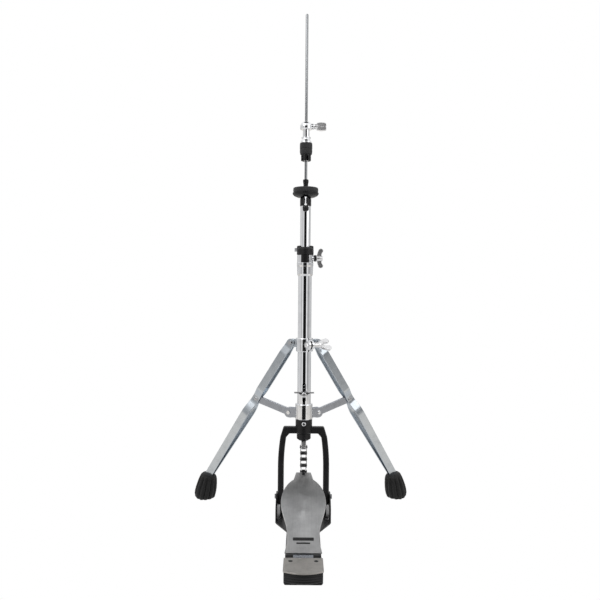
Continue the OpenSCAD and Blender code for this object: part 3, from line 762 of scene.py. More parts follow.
slo, shi = box_mm("return_spring")
turns, wire, r = 13.0, 1.0, 8.0
pts = []
steps = int(turns * 28)
for k in range(steps + 1):
    t = k / steps
    rise = min(max((t - 0.04) / 0.92, 0.0), 1.0)
    z = slo.z + wire + (shi.z - slo.z - 2 * wire) * rise
    a = 2 * math.pi * turns * t
    pts.append((r * math.cos(a), r * math.sin(a), z))
coil = tube_along("return_coil", pts, wire, None, 12)
done(coil, "steel", "pull_rod", "steel", "return_spring")
lo, hi = box_mm("spring_retainer")
done(turned("retainer_stepped",
            [(3.0, lo.z), (10.0, lo.z), (10.0, lo.z + 3), (5.5, lo.z + 3), (5.5, hi.z), (3.0, hi.z)],
            [0, 0.6, 0.6, 0.5, 0.6, 0], 64), "steel", "pull_rod", "steel", "spring_retainer")

lo, hi = box_mm("spring_carrier")
carrier = ring("carrier_turned", hi.x, 4.5, lo.z, hi.z, 0.8)
combine(carrier, "DIFFERENCE",
        rod("carrier_hole", 3.05, 0, 30, axes((0, 0, spring_z), (0, -1, 0), (1, 0, 0)), 0))
done(carrier, "plastic", "spring_adjuster", "black_plastic", "spring_carrier")
lo, hi = box_mm("spring_wing_screw")
front = axes((0, hi.y - 9.4, spring_z), (0, -1, 0), (1, 0, 0))
key = plug("spring_screw_hub", [(0, 0), (6.4, 0), (6.4, 5.5), (5.0, 9.5), (0, 10.5)],
           [0, 1.2, 2.5, 2.0, 0], front)
half_v = [(0, -3.4), (5.5, -2.6), (12.0, 2.9), (20.5, 3.3), (hi.x, 4.9), (20.5, 6.6), (11.0, 6.4),
          (4.5, 3.0), (0, 2.6)]
vee = half_v + [(-x, y) for x, y in reversed(half_v[1:-1])]
combine(key, "UNION", prism("spring_screw_wings",
                            fillet(vee, [1, 2, 3, 1, 1.6, 1, 3, 2, 1, 2, 3, 1, 1.6, 1, 3, 2], 4), 4.0,
                            8.6, front, 1.5, 4))
combine(key, "UNION", rod("spring_shank", 3.0, -9.3, 2.0, front, 0.3))
done(key, "grip", "spring_screw", "chrome", "spring_wing_screw")

lo, hi = box_mm("chain_clevis")
pin_z = joint_mm("chain_swing").z
clevis = slab("clevis_forged", [(-5.5, hi.z), (5.5, hi.z), (5.5, pin_z), (4, pin_z - 4), (0, pin_z - 5.5),
    (-4, pin_z - 4), (-5.5, pin_z)], lo.x, hi.x, 1.1, 2.4, 4)
done(clevis, "grip", "pull_rod", "steel", "chain_clevis")
lo, hi = box_mm("clevis_pin")
px = sideways((0, 0, pin_z))
pin = rod("clevis_pin_headed", 2.0, lo.x + 0.3, hi.x - 0.3, px, 0.3)
for a, b in ((lo.x, lo.x + 1.25), (hi.x - 1.25, hi.x)):
    combine(pin, "UNION", rod(f"pin_head{a}", 3.0, a, b, px, 0.5))
done(pin, "steel", "pull_rod", "steel", "clevis_pin")

lo, hi = box_mm("clutch_body")
cz = joint_mm("clutch_screw_turn").z
dome_r = -lo.x
dome = [(3.1, lo.z), (6.9, lo.z), (dome_r - 1.2, lo.z + 0.2), (dome_r, lo.z + 2.0), (dome_r, lo.z + 7.0)]
dome += [(dome_r * math.cos(math.radians(a)),
          lo.z + 7.0 + (hi.z - lo.z - 7.0) * math.sin(math.radians(a))) for a in range(12, 76, 8)]
dome += [(3.1, hi.z)]
head = turned("clutch_dome", dome, [0.2, 0.3, 1.0, 0.8] + [0] * (len(dome) - 5) + [0.2], 96)
neck = plug("clutch_boss", [(0, 4), (6.4, 4), (6.4, hi.x - 1.6), (4.6, hi.x), (0, hi.x)],
            [0, 0, 1.2, 0.6, 0], sideways((0, 0, cz)))
combine(head, "UNION", neck)
combine(head, "DIFFERENCE", rod("clutch_bore", 3.12, lo.z - 3, hi.z + 3, None, 0))
done(head, "chrome", "clutch", "chrome", "clutch_body")
lo, hi = box_mm("clutch_wing_screw")
cx = sideways((17.3, 0, cz))
thumb = grip("clutch_screw_winged", 5.4, 12.0, 8.0, 21.6, 9.0, cx, 0.9, 4.4, 5.4)
combine(thumb, "UNION", rod("clutch_screw_shank", 3.0, lo.x - 17.3, 2.0, cx, 0.3))
done(thumb, "grip", "clutch_screw", "chrome", "clutch_wing_screw")
lo, hi = box_mm("clutch_tube")
done(turned("clutch_tube_turned",
            [(3.3, lo.z), (4.8, lo.z), (4.8, hi.z - 16), (7.0, hi.z - 16), (7.0, hi.z), (3.3, hi.z)], 0.3,
            64), "chrome", "clutch", "chrome", "clutch_tube")
lo, hi = box_mm("clutch_top_nut")
top_nut = turned("clutch_nut_flared",
                 [(4.8, lo.z), (hi.x, lo.z), (hi.x - 0.2, lo.z + 2.6), (9.2, lo.z + 7.5),
                  (8.4, hi.z - 2.6), (9.9, hi.z - 2.0), (9.9, hi.z), (4.8, hi.z)],
                  [0.2, 0.8, 1.2, 3.5, 1.0, 0.6, 0.6, 0.2], 80)
done(top_nut, "chrome", "clutch", "chrome", "clutch_top_nut")
lo, hi = box_mm("clutch_felts")
half = (hi.z - lo.z) / 2
for i in (0, 1):
    z0, z1 = lo.z + i * (half + 0.05), lo.z + half * (i + 1) - 0.15 * (1 - i)
    felt = turned(f"clutch_felt_{i}",
                  [(4.8, z0), (hi.x - 0.9 * (1 - i), z0), (hi.x, (z0 + z1) / 2), (hi.x - 0.2, z1),
                   (4.8, z1)], [0.8, 1.0, 4, 0.9, 0.8], 80)
    done(felt, "felt", "clutch", "felt", "clutch_felts")
lo, hi = box_mm("clutch_bottom_nut")
slotted = turned("clutch_nut_slotted", [(4.8, lo.z), (hi.x - 1.2, lo.z), (hi.x, lo.z + 1.2), (hi.x, hi.z),
    (4.8, hi.z)], [0.3, 0.5, 0.5, 0.8, 0.3], 80)
for k in range(5):
    a = math.radians(-71 + 72 * k)
    notch = prism(f"nut_notch{k}", [(3.5, -1.8), (16, -1.8), (16, 1.8), (3.5, 1.8)], lo.z - 3, hi.z - 3.5,
                  Matrix.Rotation(a, 4, "Z"))
    combine(slotted, "DIFFERENCE", notch)
done(slotted, "plastic", "clutch", "black_plastic", "clutch_bottom_nut")

# ---------- chain

PITCH = 12.7
CHAIN_TILT = math.radians(13.733)
chain_at = Matrix.Translation((0, 0, pin_z)) @ Matrix.Rotation(-CHAIN_TILT, 4, "X")
hang = chain_at @ sideways((0, 0, 0))
for name, ids, x_in, x_out, node in (("outer", (0, 2), 5.85, 7.0, "chain_outer_plates"),
    ("inner", (1, 3), 4.65, 5.8, "chain_inner_plates")):
    for i in ids:
        for s in (-1, 1):
            a, b = sorted((s * x_in, s * x_out))
            plate = prism(f"chain_{name}_{i}_{'l' if s < 0 else 'r'}",
                          [(i * PITCH + x, y) for x, y in link(PITCH, 4.75, 3.5)], a, b, hang, 0.32, 2)
            done(plate, "chain", "chain", "black_coat", node)
for i in (1, 2, 3):
    at_pin = chain_at @ sideways((0, 0, -i * PITCH))
    roller = plug(f"chain_roller_{i}",
                  [(0, -4.5), (4.0, -4.5), (4.0, -3.6), (3.7, -3.0), (3.7, 3.0), (4.0, 3.6), (4.0, 4.5),
                   (0, 4.5)], [0, 0.5, 0.3, 0.3, 0.3, 0.3, 0.5, 0], at_pin, 48)
    combine(roller, "UNION", plug(f"chain_rivet_{i}",
        [(0, -7.6), (1.6, -7.6), (1.8, -7.1), (1.8, 7.1), (1.6, 7.6), (0, 7.6)],
        [0, 0.4, 0.2, 0.2, 0.4, 0], at_pin, 32))
    done(roller, "chain", "chain", "black_coat", "chain_rollers")

# ---------- footboard

hinge = joint_mm("pedal_hinge")
BOARD_SLOPE = math.radians(18.37)
board_at = Matrix.Translation(hinge) @ Matrix.Rotation(BOARD_SLOPE, 4, "X")
BOARD_LEN = 246.5


def ease(a, b, t):
    return a + (b - a) * (1 - math.cos(math.pi * t)) / 2


def half_width(u):
    """Half the footboard's width at a distance u from its hinge: heel, waist, ball and toe."""
    if u < 40:
        return ease(33.5, 29.5, u / 40)
    if u < 50:
        return 29.5
    if u < 150:
        return ease(29.5, 44.3, (u - 50) / 100)
    if u < 221:
        return 44.3 * math.sqrt(1 - ((u - 150) / 80) ** 2)
    return 20.4 - 4.9 * (u - 221) / (BOARD_LEN - 221)


us = [7 + (BOARD_LEN - 7) * k / 110 for k in range(111)]
side = [(half_width(u), u) for u in us]
outline = side + [(-x, u) for x, u in reversed(side)]
board = prism("footboard_plate", outline, 3.0, 6.0, board_at, 1.1, 4, 32.0, [(0, 240, 2.0)])
done(board, "board", "pedal", "brushed", "footboard")
for i, (w, u0, u1) in enumerate(((19.0, 38.0, 46.0), (12.5, 29.5, 33.0))):
    bar = prism(f"badge_bar_{i}", fillet([(-w, u0), (w, u0), (w, u1), (-w, u1)], 1.4, 5), 5.8, 6.28,
                board_at, 0.14, 2)
    done(bar, "badge", "pedal", "black_plastic")
lo, hi = box_mm("footboard_barrel")
barrel_at = board_at @ sideways((0, 0, 0))
barrel = lathe("barrel_knurled",
               fillet([(2.56, lo.x), (5.6, lo.x), (6.0, lo.x + 0.6), (6.0, hi.x - 0.6), (5.6, hi.x),
                       (2.56, hi.x)], 0.1), barrel_at, 144, True, 60.0,
               lambda t, r, z: r - 0.28 * (0.5 + 0.5 * math.cos(36 * t)) if r > 5.5 else r)
web = prism("barrel_web", fillet([(lo.x + 0.3, 3), (hi.x - 0.3, 3), (hi.x - 0.3, 21.5),
    (lo.x + 0.3, 21.5)], 2.0), 0.6, 2.9, board_at, 0.5, 3)
done(barrel, "brace", "pedal", "steel", "footboard_barrel")
done(web, "coat", "pedal", "steel")

toe_point = chain_at @ Vector((0, 0, -4 * PITCH))
toe_u, toe_w = (board_at.inverted() @ toe_point).yz
anchor = prism("anchor_block",
               fillet([(-6.9, 226), (6.9, 226), (6.9, 246), (3.8, 247.5), (3.8, toe_u), (-3.8, toe_u),
                       (-3.8, 247.5), (-6.9, 246)], [2, 2, 1.5, 1, 0, 0, 1, 1.5]), -1.0, 2.95, board_at,
                       0.6, 3)
combine(anchor, "UNION", rod("anchor_eye", 4.0, -3.8, 3.8, board_at @ sideways((0, toe_u, toe_w)), 0.5))
done(anchor, "coat", "pedal", "black_coat", "chain_anchor")
toe_at = board_at @ sideways((0, toe_u, toe_w))
toe_pin = rod("toe_pin", 1.8, -7.2, 7.2, toe_at, 0.3)
for a, b in ((-7.4, -6.1), (6.1, 7.4)):
    combine(toe_pin, "UNION", rod(f"toe_head{a}", 3.0, a, b, toe_at, 0.4))
done(toe_pin, "chain", "pedal", "steel")
cap = plug("toe_screw", [(0, 2.0), (2.0, 2.0), (2.0, 6.0), (3.5, 6.0), (3.5, 7.0), (2.6, 7.6), (0, 7.6)],
           [0, 0, 0, 0.2, 0.5, 0.6, 0], board_at @ Matrix.Translation((0, 240, 0)), 48)
combine(cap, "DIFFERENCE", prism("toe_key", hexagon(2.8), 6.4, 9,
    board_at @ Matrix.Translation((0, 240, 0))))
done(cap, "coat", "pedal", "steel")

# ---------- base, heel and yoke

lo, hi = box_mm("base_plate")
hx = hi.x
plate_pts = [(-hx, hi.y), (-hx, -41), (-33, -90), (-33, lo.y), (33, lo.y), (33, -90), (hx, -41),
             (hx, hi.y)]
base = prism("base_pressing", fillet(plate_pts, [2, 3, 30, 4, 4, 30, 3, 2], 8), lo.z, lo.z + 3.0, None,
             0.7, 3)
for a in (-hx, hx - 3):
    flange = slab(f"base_flange{a}",
                  [(22, lo.z + 0.2), (22, 44), (12, hi.z), (-12, hi.z), (-38, 30), (-38, lo.z + 0.2)], a,
                  a + 3, 0.7, [0.5, 6, 9, 14, 6, 0.5])
    combine(base, "UNION", flange)
done(base, "coat", "stand", "black_coat", "base_plate")
lo, hi = box_mm("floor_mat")
mat = prism("mat_ribbed", fillet([(-hx + 1, hi.y), (-hx + 1, -41), (-32, -90), (-32, lo.y), (32, lo.y),
    (32, -90), (hx - 1, -41), (hx - 1, hi.y)], [2, 3, 30, 4, 4, 30, 3, 2], 8), lo.z, hi.z, None, 0.3, 2)
done(mat, "rubber", "stand", "rubber", "floor_mat")

lo, hi = box_mm("heel_plate")
half = hi.x
bow_r = 66.0


def heel_shape(half, y0, y1):
    """Straight sides and a bowed front edge at y0."""
    xs = [-half + half * k / 10 for k in range(21)]
    return [(x, y0 + bow_r - math.sqrt(bow_r ** 2 - x * x)) for x in xs] + [(half, y1), (-half, y1)]


spots = [Vector((-22, -276)), Vector((22, -276))]
cap = prism("heel_cap_pressed", heel_shape(half, lo.y, hi.y), lo.z, hi.z, None, 0.9, 4, 32.0,
            [(p.x, p.y, 2.05) for p in spots])
done(cap, "heel", "stand", "heel_cap", "heel_plate")
block_lo, block_hi = box_mm("heel_block")
block = prism("heel_block_moulded", heel_shape(block_hi.x, block_lo.y, block_hi.y), block_lo.z,
              block_hi.z, None, 2.2, 4)
for z in (8.0, 12.0, 16.0):
    groove = prism(f"heel_groove{z}", heel_shape(block_hi.x + 3, block_lo.y - 3, block_lo.y + 40), z,
                   z + 0.9)
    core = prism(f"heel_core{z}", heel_shape(block_hi.x - 0.7, block_lo.y + 0.8, block_lo.y + 60), z - 1,
                 z + 2)
    combine(groove, "DIFFERENCE", core)
    combine(block, "DIFFERENCE", groove)
done(block, "plastic", "stand", "black_plastic", "heel_block")
lo, hi = box_mm("heel_screws")
for i, p in enumerate(spots):
    at_p = Matrix.Translation((p.x, p.y, 0))
    head = plug(f"heel_screw_{i}",
                [(0, lo.z), (1.95, lo.z), (1.95, hi.z - 1.4), (4.0, hi.z - 0.5), (4.0, hi.z - 0.3),
                 (2.0, hi.z), (0, hi.z)], [0, 0.2, 0.1, 0.1, 0.1, 0.8, 0], at_p, 48)
    for turn in (20, 110):
        combine(head, "DIFFERENCE", prism(f"cross{i}{turn}",
            [(-2.3, -0.45), (2.3, -0.45), (2.3, 0.45), (-2.3, 0.45)], hi.z - 0.9, hi.z + 2,
            at_p @ Matrix.Rotation(math.radians(turn), 4, "Z")))
    done(head, "coat", "stand", "steel", "heel_screws")

lo, hi = box_mm("hinge_blocks")
hy, hz = hinge.y, hinge.z
for s in (-1, 1):
    a, b = sorted((s * 18, s * 31))
    pts = [(hy - 8, lo.z), (hy + 6.4, lo.z)] + arc(hy, hz, 6.5, 0, 180, 14) + [(hy - 8, hz - 4)]
    ear = slab(f"hinge_ear_{'l' if s < 0 else 'r'}", pts, a, b, 1.1, [1, 1] + [0] * 15 + [1], 4)
    done(ear, "coat", "stand", "black_coat", "hinge_blocks")
lo, hi = box_mm("hinge_pin")
hp = rod("hinge_pin_ground", 2.5, lo.x, hi.x, sideways((0, hy, hz)), 0.6)
done(hp, "steel", "stand", "steel", "hinge_pin")

ylo, yhi = box_mm("pedal_yoke")
bar_top = yhi.z - 17.3
BEND_Z = 108
DRAWN_IN = 8.6
DRAWN_OVER = 86.7


def yoke_half(z):
    """Half the yoke's width: upright below the bend, drawn in above it."""
    return yhi.x - DRAWN_IN * (max(0.0, z - BEND_Z) / DRAWN_OVER) ** 2


zs = [ylo.z] + [BEND_Z + 8 * k for k in range(11)]
right = [(yoke_half(z), z) for z in zs] + [(43.2, bar_top)]
inner = [(yoke_half(z) - 12.8, z) for z in zs[:-2]] + [(30.5, 180.0)]
rows_out = right[:len(inner) - 1] + [right[-1]]
outer = rows_out + [(-x, z) for x, z in reversed(rows_out)]
inward = inner + [(-x, z) for x, z in reversed(inner)]
turn_at = (len(inner) - 1, len(inner))
outer = fillet(outer, [4.2 if k in turn_at else 0 for k in range(len(outer))], 8, False)
inward = fillet(inward, [3.2 if k in turn_at else 0 for k in range(len(inward))], 8, False)
yoke = band("yoke_forged", outer, inward, 14.0, 3.4)
hub = turned("yoke_hub", [(7.0, 165.6), (10.2, 165.6), (15.0, 169.2), (15.0, 180.5), (yhi.y, 183),
                          (yhi.y, yhi.z), (14.3, yhi.z), (14.3, 184.2), (7.0, 184.2)],
                          [0.4, 1.2, 1.5, 0.6, 2.2, 1.2, 0.4, 0.2, 0.2], 80)
combine(yoke, "UNION", hub)
done(yoke, "coat", "stand", "black_coat", "pedal_yoke")

lo, hi = box_mm("yoke_bolts")
bz = (lo.z + hi.z) / 2
for i, s in enumerate((-1, 1)):
    out = axes((s * (hi.x - 3.2), 0, bz), (s, 0, 0), (0, 0, 1))
    head = nut(f"yoke_bolt_{i}", 9.4, 0.6, 3.15, out)
    combine(head, "UNION", rod(f"bolt_washer{i}", 5.5, 0.0, 0.8, out, 0.2))
    combine(head, "UNION", rod(f"bolt_shank{i}", 3.0, -15.2, 0.3, out, 0.3))
    done(head, "steel", "stand", "steel", "yoke_bolts")
lo, hi = box_mm("yoke_screw")
fz = (lo.z + hi.z) / 2
face = axes((0, lo.y, fz), (0, -1, 0), (1, 0, 0))
sock = plug("yoke_screw_socket",
            [(0, -6.2), (2.5, -6.2), (2.5, -3.0), (4.65, -3.0), (4.65, -1.4), (3.4, 0), (2.6, -0.5),
             (0, -0.6)], [0, 0.1, 0.1, 0.4, 1.0, 0.8, 0.4, 0], face, 56)
combine(sock, "DIFFERENCE", prism("yoke_key", hexagon(4.2), -2.2, 3, face))
done(sock, "chrome_soft", "stand", "steel", "yoke_screw")

lo, hi = box_mm("side_clips")
for i, s in enumerate((-1, 1)):
    x0 = hi.x
    strip = [(x0, 4.6), (x0, hi.z - 4), (x0 - 0.5, hi.z), (x0 - 1.4, hi.z), (x0 - 1.2, hi.z - 4.4),
             (x0 - 1.2, 5.8), (x0 - 7.2, 5.8), (x0 - 7.2, 4.6)]
    clip = prism(f"side_clip_{i}",
                 fillet([(s * x, z) for x, z in strip], [1.8, 3, 0.3, 0.3, 3, 0.9, 0.3, 0.3]), -(hi.y),
                 -(lo.y), SPIN, 0.25, 2)
    a, b = sorted((s * (x0 - 0.1), s * (x0 - 6.6)))
    lip = prism(f"clip_lip{i}", fillet([(a, 10), (b, 10), (b, hi.z), (a, hi.z)], 1.4), -(lo.y + 1.2),
                -lo.y, SPIN, 0.3, 2)
    combine(clip, "UNION", lip)
    done(clip, "grip", "stand", "chrome", "side_clips")

# ---------- leg collars

lo, hi = box_mm("lower_leg_collar")
strut = joint_mm("right_strut_hinge")
pr = math.hypot(strut.x, strut.y)
turns_of = {s: math.atan2(*reversed(joint_mm(f"{w}_strut_hinge").xy))
            for s, w in ((-1, "left"), (1, "right"))}


def on_side(s, out, z):
    """The place at a radius and a height on the side of the left (-1) or right (1) leg."""
    return Matrix.Rotation(turns_of[s], 4, "Z") @ Matrix.Translation((out, 0, z))


collar = turned("lower_collar_cast",
                [(14.32, lo.z), (17.6, lo.z), (18.25, lo.z + 1.4), (18.25, hi.z - 1.4), (17.6, hi.z),
                 (14.32, hi.z)], [0.3, 0.6, 1.2, 1.2, 0.6, 0.3], 96)
for s in (-1, 1):
    for t in (-5.6, 2.6):
        foot_z = lo.z + 1.4 - strut.z
        ear_pts = tab(16.5, pr, 11, [(16.5, foot_z), (24, foot_z), (pr - 4, -11)])
        ear = prism(f"lower_collar_ear_{'l' if s < 0 else 'r'}_{'front' if t < 0 else 'back'}", ear_pts,
                    -t - 3.0, -t,
                    on_side(s, 0, strut.z) @ SPIN, 0.9, 3)
        done(ear, "brace", "stand", "chrome")
done(collar, "chrome_soft", "stand", "chrome", "lower_leg_collar")
for i, s in enumerate((-1, 1)):
    spin = on_side(s, pr, strut.z) @ axes((0, 0, 0), (0, -1, 0), (1, 0, 0))
    bolt = rod(f"brace_bolt_{i}", 3.0, -7.0, 7.0, spin, 0.3)
    combine(bolt, "UNION", plug(f"brace_dome{i}",
        [(0, 5.6), (4.5, 5.6), (4.5, 6.4), (2.6, 7.6), (0, 7.6)], [0, 0.1, 0.6, 1.0, 0], spin))
    combine(bolt, "UNION", nut(f"brace_nut{i}", 7.8, -7.6, -5.6, spin))
    done(bolt, "chrome_soft", "stand", "chrome", "brace_pins")

leg_piv = joint_mm("right_leg_hinge")
lr = math.hypot(leg_piv.x, leg_piv.y)
low_z, high_z = leg_piv.z - 17.0, leg_piv.z + 12.0
ucol = turned("upper_collar_cast",
              [(14.36, low_z), (17.2, low_z), (18.0, low_z + 1.6), (18.0, high_z - 1.6), (17.2, high_z),
               (14.36, high_z)], [0.3, 0.8, 1.4, 1.4, 0.8, 0.3], 96)
for s in (-1, 1):
    ear_pts = tab(15.5, lr, 9)
    ear = prism(f"upper_collar_ear_{'l' if s < 0 else 'r'}", ear_pts, -3.1, 3.1,
                on_side(s, 0, leg_piv.z) @ SPIN, 1.2, 4)
    done(ear, "leg", "leg_slider", "chrome")
bolt_at = joint_mm("leg_bolt_turn")
br = math.hypot(bolt_at.x, bolt_at.y)
clamp_spin = Matrix.Rotation(math.atan2(bolt_at.y, bolt_at.x), 4, "Z")
for t in (-6.5, 1.5):
    lug_pts = tab(14.6, br - 2, 9.8)
    lug = prism(f"ucol_lug{t}", lug_pts, -t - 5.0, -t, clamp_spin @ Matrix.Translation((0, 0, bolt_at.z))
                @ SPIN, 1.3, 4)
    combine(ucol, "UNION", lug)
combine(ucol, "DIFFERENCE", prism("ucol_gap", [(10, -1.5), (40, -1.5), (40, 1.5), (10, 1.5)], low_z - 5,
    high_z + 5, clamp_spin))
done(ucol, "chrome_soft", "leg_slider", "chrome", "upper_leg_collar")
# A black rubber sheet set in the clamp gap stands in for the shade inside the gap: a painted shadow, not a real
# part.
gap_shadow_sheet = prism("ucol_gap_shadow_sheet", [(15.5, -1.45), (br + 3.5, -1.45), (br + 3.5, 1.45), (15.5, 1.45)],
              bolt_at.z - 8.5, bolt_at.z + 8.5, clamp_spin, 0.4, 2)
done(gap_shadow_sheet, "rubber", "leg_slider", "chrome")
for i, s in enumerate((-1, 1)):
    spin = on_side(s, lr, leg_piv.z) @ axes((0, 0, 0), (0, -1, 0), (1, 0, 0))
    bolt = rod(f"leg_bolt_{i}", 3.0, -7.0, 7.0, spin, 0.3)
    combine(bolt, "UNION", nut(f"leg_hex{i}", 8.6, 6.4, 8.75, spin, 15))
    combine(bolt, "UNION", nut(f"leg_nut{i}", 8.6, -8.75, -6.4, spin, 15))
    done(bolt, "steel", "leg_slider", "steel", "leg_pivots")
bolt_line = (-math.sin(math.atan2(bolt_at.y, bolt_at.x)), math.cos(math.atan2(bolt_at.y, bolt_at.x)), 0)
outward = (bolt_at.x / br, bolt_at.y / br, 0)
wb = axes(bolt_at, bolt_line, outward)
wing_at = wb @ Matrix.Translation((0, 0, 18)) @ Matrix.Rotation(math.radians(50), 4, "Z")
wing = grip("leg_bolt_winged", 6.0, 12.0, 14.5, 24.5, 7.0, wing_at, 0.85, 5.6, 5.2)
combine(wing, "UNION", rod("leg_bolt_neck", 5.4, 6.9, 18.6, wb, 0.8))
combine(wing, "UNION", rod("leg_bolt_shank", 3.0, -10.0, 8.0, wb, 0.3))
combine(wing, "UNION", nut("leg_bolt_hex", 8.6, -11.8, -6.8, wb))
done(wing, "grip", "leg_bolt", "chrome", "leg_wing_bolt")

# ---------- legs, braces and feet

LEAN = math.radians(34.3)
RIVET_RZ = (118.5, 244.0)
run_r, drop = RIVET_RZ[0] - lr, leg_piv.z - RIVET_RZ[1]
RIVET = (math.hypot(run_r, drop), math.hypot(run_r, drop) * math.sin(math.atan2(run_r, drop) - LEAN))
BAR = 415.0
FOOT_OUT = 262.5
FOOT_TILT = math.radians(13.5)
bar_line = [(-9, 3.4), (10, 3.4), (28, 8), (RIVET[0] - 24, 8), (RIVET[0] - 8, 3), (RIVET[0] + 8, 3),
            (RIVET[0] + 32, 13), (BAR - 22, 2.2), (BAR, 2.2)]


def flat_bar(name, m, place):
    """One bent flat bar with rounded edges and a rounded upper end; m is the side of the leg it lies on."""
    line = fillet([(s, m * (n + 1.25)) for s, n in bar_line], [0, 22, 26, 26, 16, 26, 60, 60, 0], 9,
                  False)
    dense = resample(line, 5)
    tip = [(-9 + 9 * (1 - math.cos(math.pi / 2 * k / 7)), dense[0][1]) for k in range(8)]
    dense = tip + [p for p in dense if p[0] > 0.5]
    rows = []
    for i, (s, n) in enumerate(dense):
        a, b = dense[max(i - 1, 0)], dense[min(i + 1, len(dense) - 1)]
        d = Vector((b[0] - a[0], b[1] - a[1])).normalized()
        w = 9.0 if s >= 0 else max(1.4, 9.0 * math.sqrt(max(0.0, 1 - (s / 9.0) ** 2)))
        section = fillet([(-1.25, -w), (1.25, -w), (1.25, w), (-1.25, w)], 0.8, 3)
        rows.append([(s - d.y * t, n + d.x * t, z) for t, z in section])
    return loft(name, rows, place, 40.0)


for side, word in ((-1, "left"), (1, "right")):
    leg_at = on_side(side, lr, leg_piv.z) @ Matrix.Rotation(math.pi / 2 - LEAN, 4, "Y")
    for m, tag in ((-1, "inner"), (1, "outer")):
        bar = flat_bar(f"{word}_bar_{tag}", m, leg_at)
        face_at = leg_at @ axes((RIVET[0], m * 5.4, RIVET[1]), (0, m, 0), (1, 0, 0))
        rivet = plug(f"{word}_rivet_{tag}", [(0, -0.8), (5.0, -0.8), (5.0, 0.5), (3.6, 1.9), (0, 2.3)],
                     [0, 0, 0.6, 1.2, 0], face_at, 48)
        done(bar, "leg", f"{word}_leg", "zinc", f"{word}_leg_bars")
        done(rivet, "steel", f"{word}_leg", "zinc")
    rise = math.atan2(RIVET_RZ[1] - strut.z, RIVET_RZ[0] - pr)
    reach = math.hypot(RIVET_RZ[1] - strut.z, RIVET_RZ[0] - pr)
    brace_at = on_side(side, pr, strut.z) @ Matrix.Rotation(-rise, 4, "Y") @ SPIN
    flat = prism(f"{word}_brace_bar", link(reach, 8.0, 7.9), -2.2, 2.2, brace_at, 1.1, 4)
    done(flat, "brace", f"{word}_strut", "zinc", f"{word}_brace")

    foot_at = on_side(side, FOOT_OUT, 0) @ Matrix.Rotation(-FOOT_TILT, 4, "Y")
    prof = [(0, -9), (10, -8), (17.0, -4.5), (22.0, 1.5), (24.6, 9), (25.0, 17), (24.5, 26), (23.0, 37),
            (20.9, 47), (18.6, 54.0), (14.5, 58.8), (0, 60)]

    def boot(t, r, z):
        """Twelve ribs that fade out at the sole and at the collar."""
        crest = abs(math.sin(6 * t)) ** 0.7
        fade = min(1.0, max(0.0, (57.5 - z) / 12.0)) * min(1.0, max(0.0, (r - 9.0) / 8.0))
        return r - (1.0 - crest) * 3.4 * fade

    rows_p = fillet(prof, [0, 4, 6, 8, 8, 8, 8, 8, 6, 5, 5, 0], 4, False)
    foot = lathe(f"{word}_boot", resample(rows_p, 3.0), foot_at, 144, False, 75.0, boot)
    for v in foot.data.vertices:
        v.co.z = max(v.co.z, 0.0)
    done(foot, "rubber", f"{word}_leg", "rubber", f"{word}_foot")

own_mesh(coil)


# ---------- floor, light and camera

bm = bmesh.new()
bmesh.ops.create_circle(bm, cap_ends=True, segments=96, radius=6.0)
me = bpy.data.meshes.new("floor")
bm.to_mesh(me)
bm.free()
floor = bpy.data.objects.new("floor", me)
bpy.context.scene.collection.objects.link(floor)
floor.location = (0, 0, -0.0002)
fm = bpy.data.materials.new("floor_white")
fm.use_nodes = True
g = Graph(fm.node_tree)
out = g.node("ShaderNodeOutputMaterial")
path = g.node("ShaderNodeLightPath")
grey = g.node("ShaderNodeBsdfDiffuse")
grey.inputs["Color"].default_value = (0.30, 0.30, 0.30, 1)
white = g.node("ShaderNodeEmission")
clear = g.node("ShaderNodeBsdfTransparent")
seen = g.node("ShaderNodeMixShader")
g.link(path.outputs["Is Camera Ray"], seen.inputs["Fac"])
g.link(grey.outputs["BSDF"], seen.inputs[1])
g.link(white.outputs["Emission"], seen.inputs[2])
through = g.node("ShaderNodeMixShader")
g.link(path.outputs["Is Glossy Ray"], through.inputs["Fac"])
g.link(seen.outputs["Shader"], through.inputs[1])
g.link(clear.outputs["BSDF"], through.inputs[2])
g.link(through.outputs["Shader"], out.inputs["Surface"])
me.materials.append(fm)

world = bpy.data.worlds.new("studio")
bpy.context.scene.world = world
world.use_nodes = True
g = Graph(world.node_tree)
out = g.node("ShaderNodeOutputWorld")
tc = g.node("ShaderNodeTexCoord")
sep = g.node("ShaderNodeSeparateXYZ")
g.link(tc.outputs["Generated"], sep.inputs["Vector"])
azimuth = g.math("ARCTAN2", sep.outputs["X"], g.math("MULTIPLY", sep.outputs["Y"], -1.0))
turn = g.span(azimuth, 0.0, 1.0, -math.pi, math.pi)


def at(deg):
    """The ramp's position for a direction: 0 is behind the camera, 90 is to the right."""
    return 0.5 + deg / 360.0


def walls_of(left, right, warm):
    """Light round the horizon, from a dark gap behind the camera to bright lines and soft sides."""
    tint = (1.0, 1.0 - 0.05 * warm, 1.0 - 0.12 * warm)
    level = [(-180, 0.85), (-172, 0.90), (-168, 0.02), (-150, 0.02), (-145, 0.90), (-129, 0.72),
             (-97, 0.62), (-74, max(0.70, left)),
             (-62, left), (-50, max(0.50, left * 0.9)), (-40, 0.82), (-30, 0.90), (-25.5, 0.008),
             (23, 0.008), (27.5, 1.0), (38, 0.85), (48, max(0.45, right * 0.9)), (62, right),
             (74, max(0.46, right)), (97, 0.54),
             (129, 0.60), (142, 0.85), (147, 0.02), (160, 0.02), (165, 0.80), (180, 0.85)]
    return g.ramp(turn, [(at(a), tuple(v * t for t in tint)) for a, v in level])


def blend(fac, a, b):
    m = g.node("ShaderNodeMix", data_type="RGBA")
    g.link(fac, m.inputs["Factor"])
    g.link(a, m.inputs[6])
    g.link(b, m.inputs[7])
    return m.outputs[2]


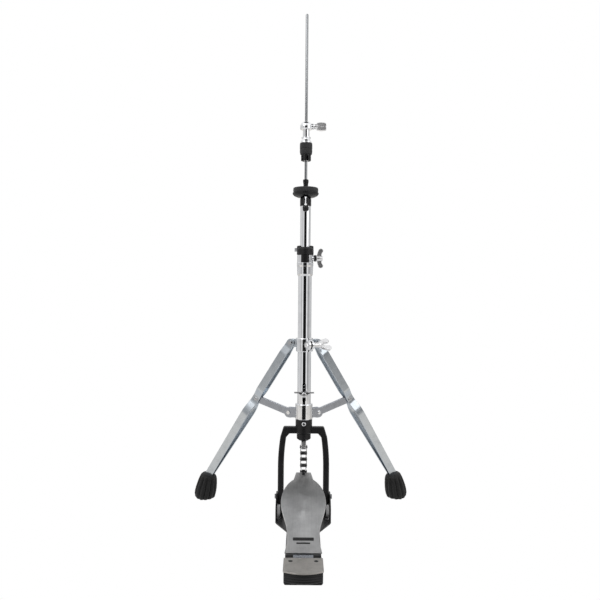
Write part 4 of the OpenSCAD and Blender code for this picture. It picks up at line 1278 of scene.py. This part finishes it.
height = g.span(sep.outputs["Z"], 0.0, 1.0, -1.0, 1.0)
walls = blend(g.span(sep.outputs["Z"], 0.0, 1.0, -0.15, -0.21), walls_of(0.46, 0.28, 0.0),
              walls_of(0.98, 1.0, 1.0))
off_level = g.ramp(height, [(0.0, 1.0), (0.28, 1.0), (0.35, 0.0), (0.64, 0.0), (0.73, 1.0), (1.0, 1.0)])
above = g.ramp(height, [(0.0, 0.80), (0.35, 0.80), (0.45, 0.60), (0.62, 0.90), (0.93, 1.0), (0.965, 0.05),
                        (1.0, 0.04)])
around = blend(off_level, walls, above)
shiny = g.node("ShaderNodeBackground")
g.link(around, shiny.inputs["Color"])
plain = g.node("ShaderNodeBackground")
plain.inputs["Color"].default_value = (1, 1, 1, 1)
path = g.node("ShaderNodeLightPath")
g.link(g.span(path.outputs["Is Camera Ray"], 0.45, 1.0), plain.inputs["Strength"])
swap = g.node("ShaderNodeMixShader")
g.link(path.outputs["Is Glossy Ray"], swap.inputs["Fac"])
g.link(plain.outputs["Background"], swap.inputs[1])
g.link(shiny.outputs["Background"], swap.inputs[2])
g.link(swap.outputs["Shader"], out.inputs["Surface"])


def lamp(name, at_point, target, size, power):
    d = bpy.data.lights.new(name, "AREA")
    d.shape = "RECTANGLE"
    d.size, d.size_y = size
    d.energy = power
    o = bpy.data.objects.new(name, d)
    bpy.context.scene.collection.objects.link(o)
    o.location = at_point
    o.rotation_mode = "QUATERNION"
    o.rotation_quaternion = (Vector(target) - Vector(at_point)).to_track_quat("-Z", "Y")
    return o


lamp("key", (-1.5, -1.8, 2.2), (0, 0, 0.4), (1.2, 1.2), 16.0)
lamp("fill", (1.9, -1.2, 1.4), (0, 0, 0.4), (1.0, 1.4), 7.0)

cam = bpy.data.cameras.new("camera")
cam.sensor_width = 36.0
cam.lens = 37.665
cam.shift_x = -0.00433333
cam.shift_y = -0.01666667
cam.clip_start, cam.clip_end = 0.02, 50.0
camera = bpy.data.objects.new("camera", cam)
bpy.context.scene.collection.objects.link(camera)
camera.location = (-0.0050, -1.350, 0.4878)
camera.rotation_euler = (math.radians(90), math.radians(-0.47), 0)
bpy.context.scene.camera = camera
bpy.context.scene.view_settings.view_transform = "Standard"
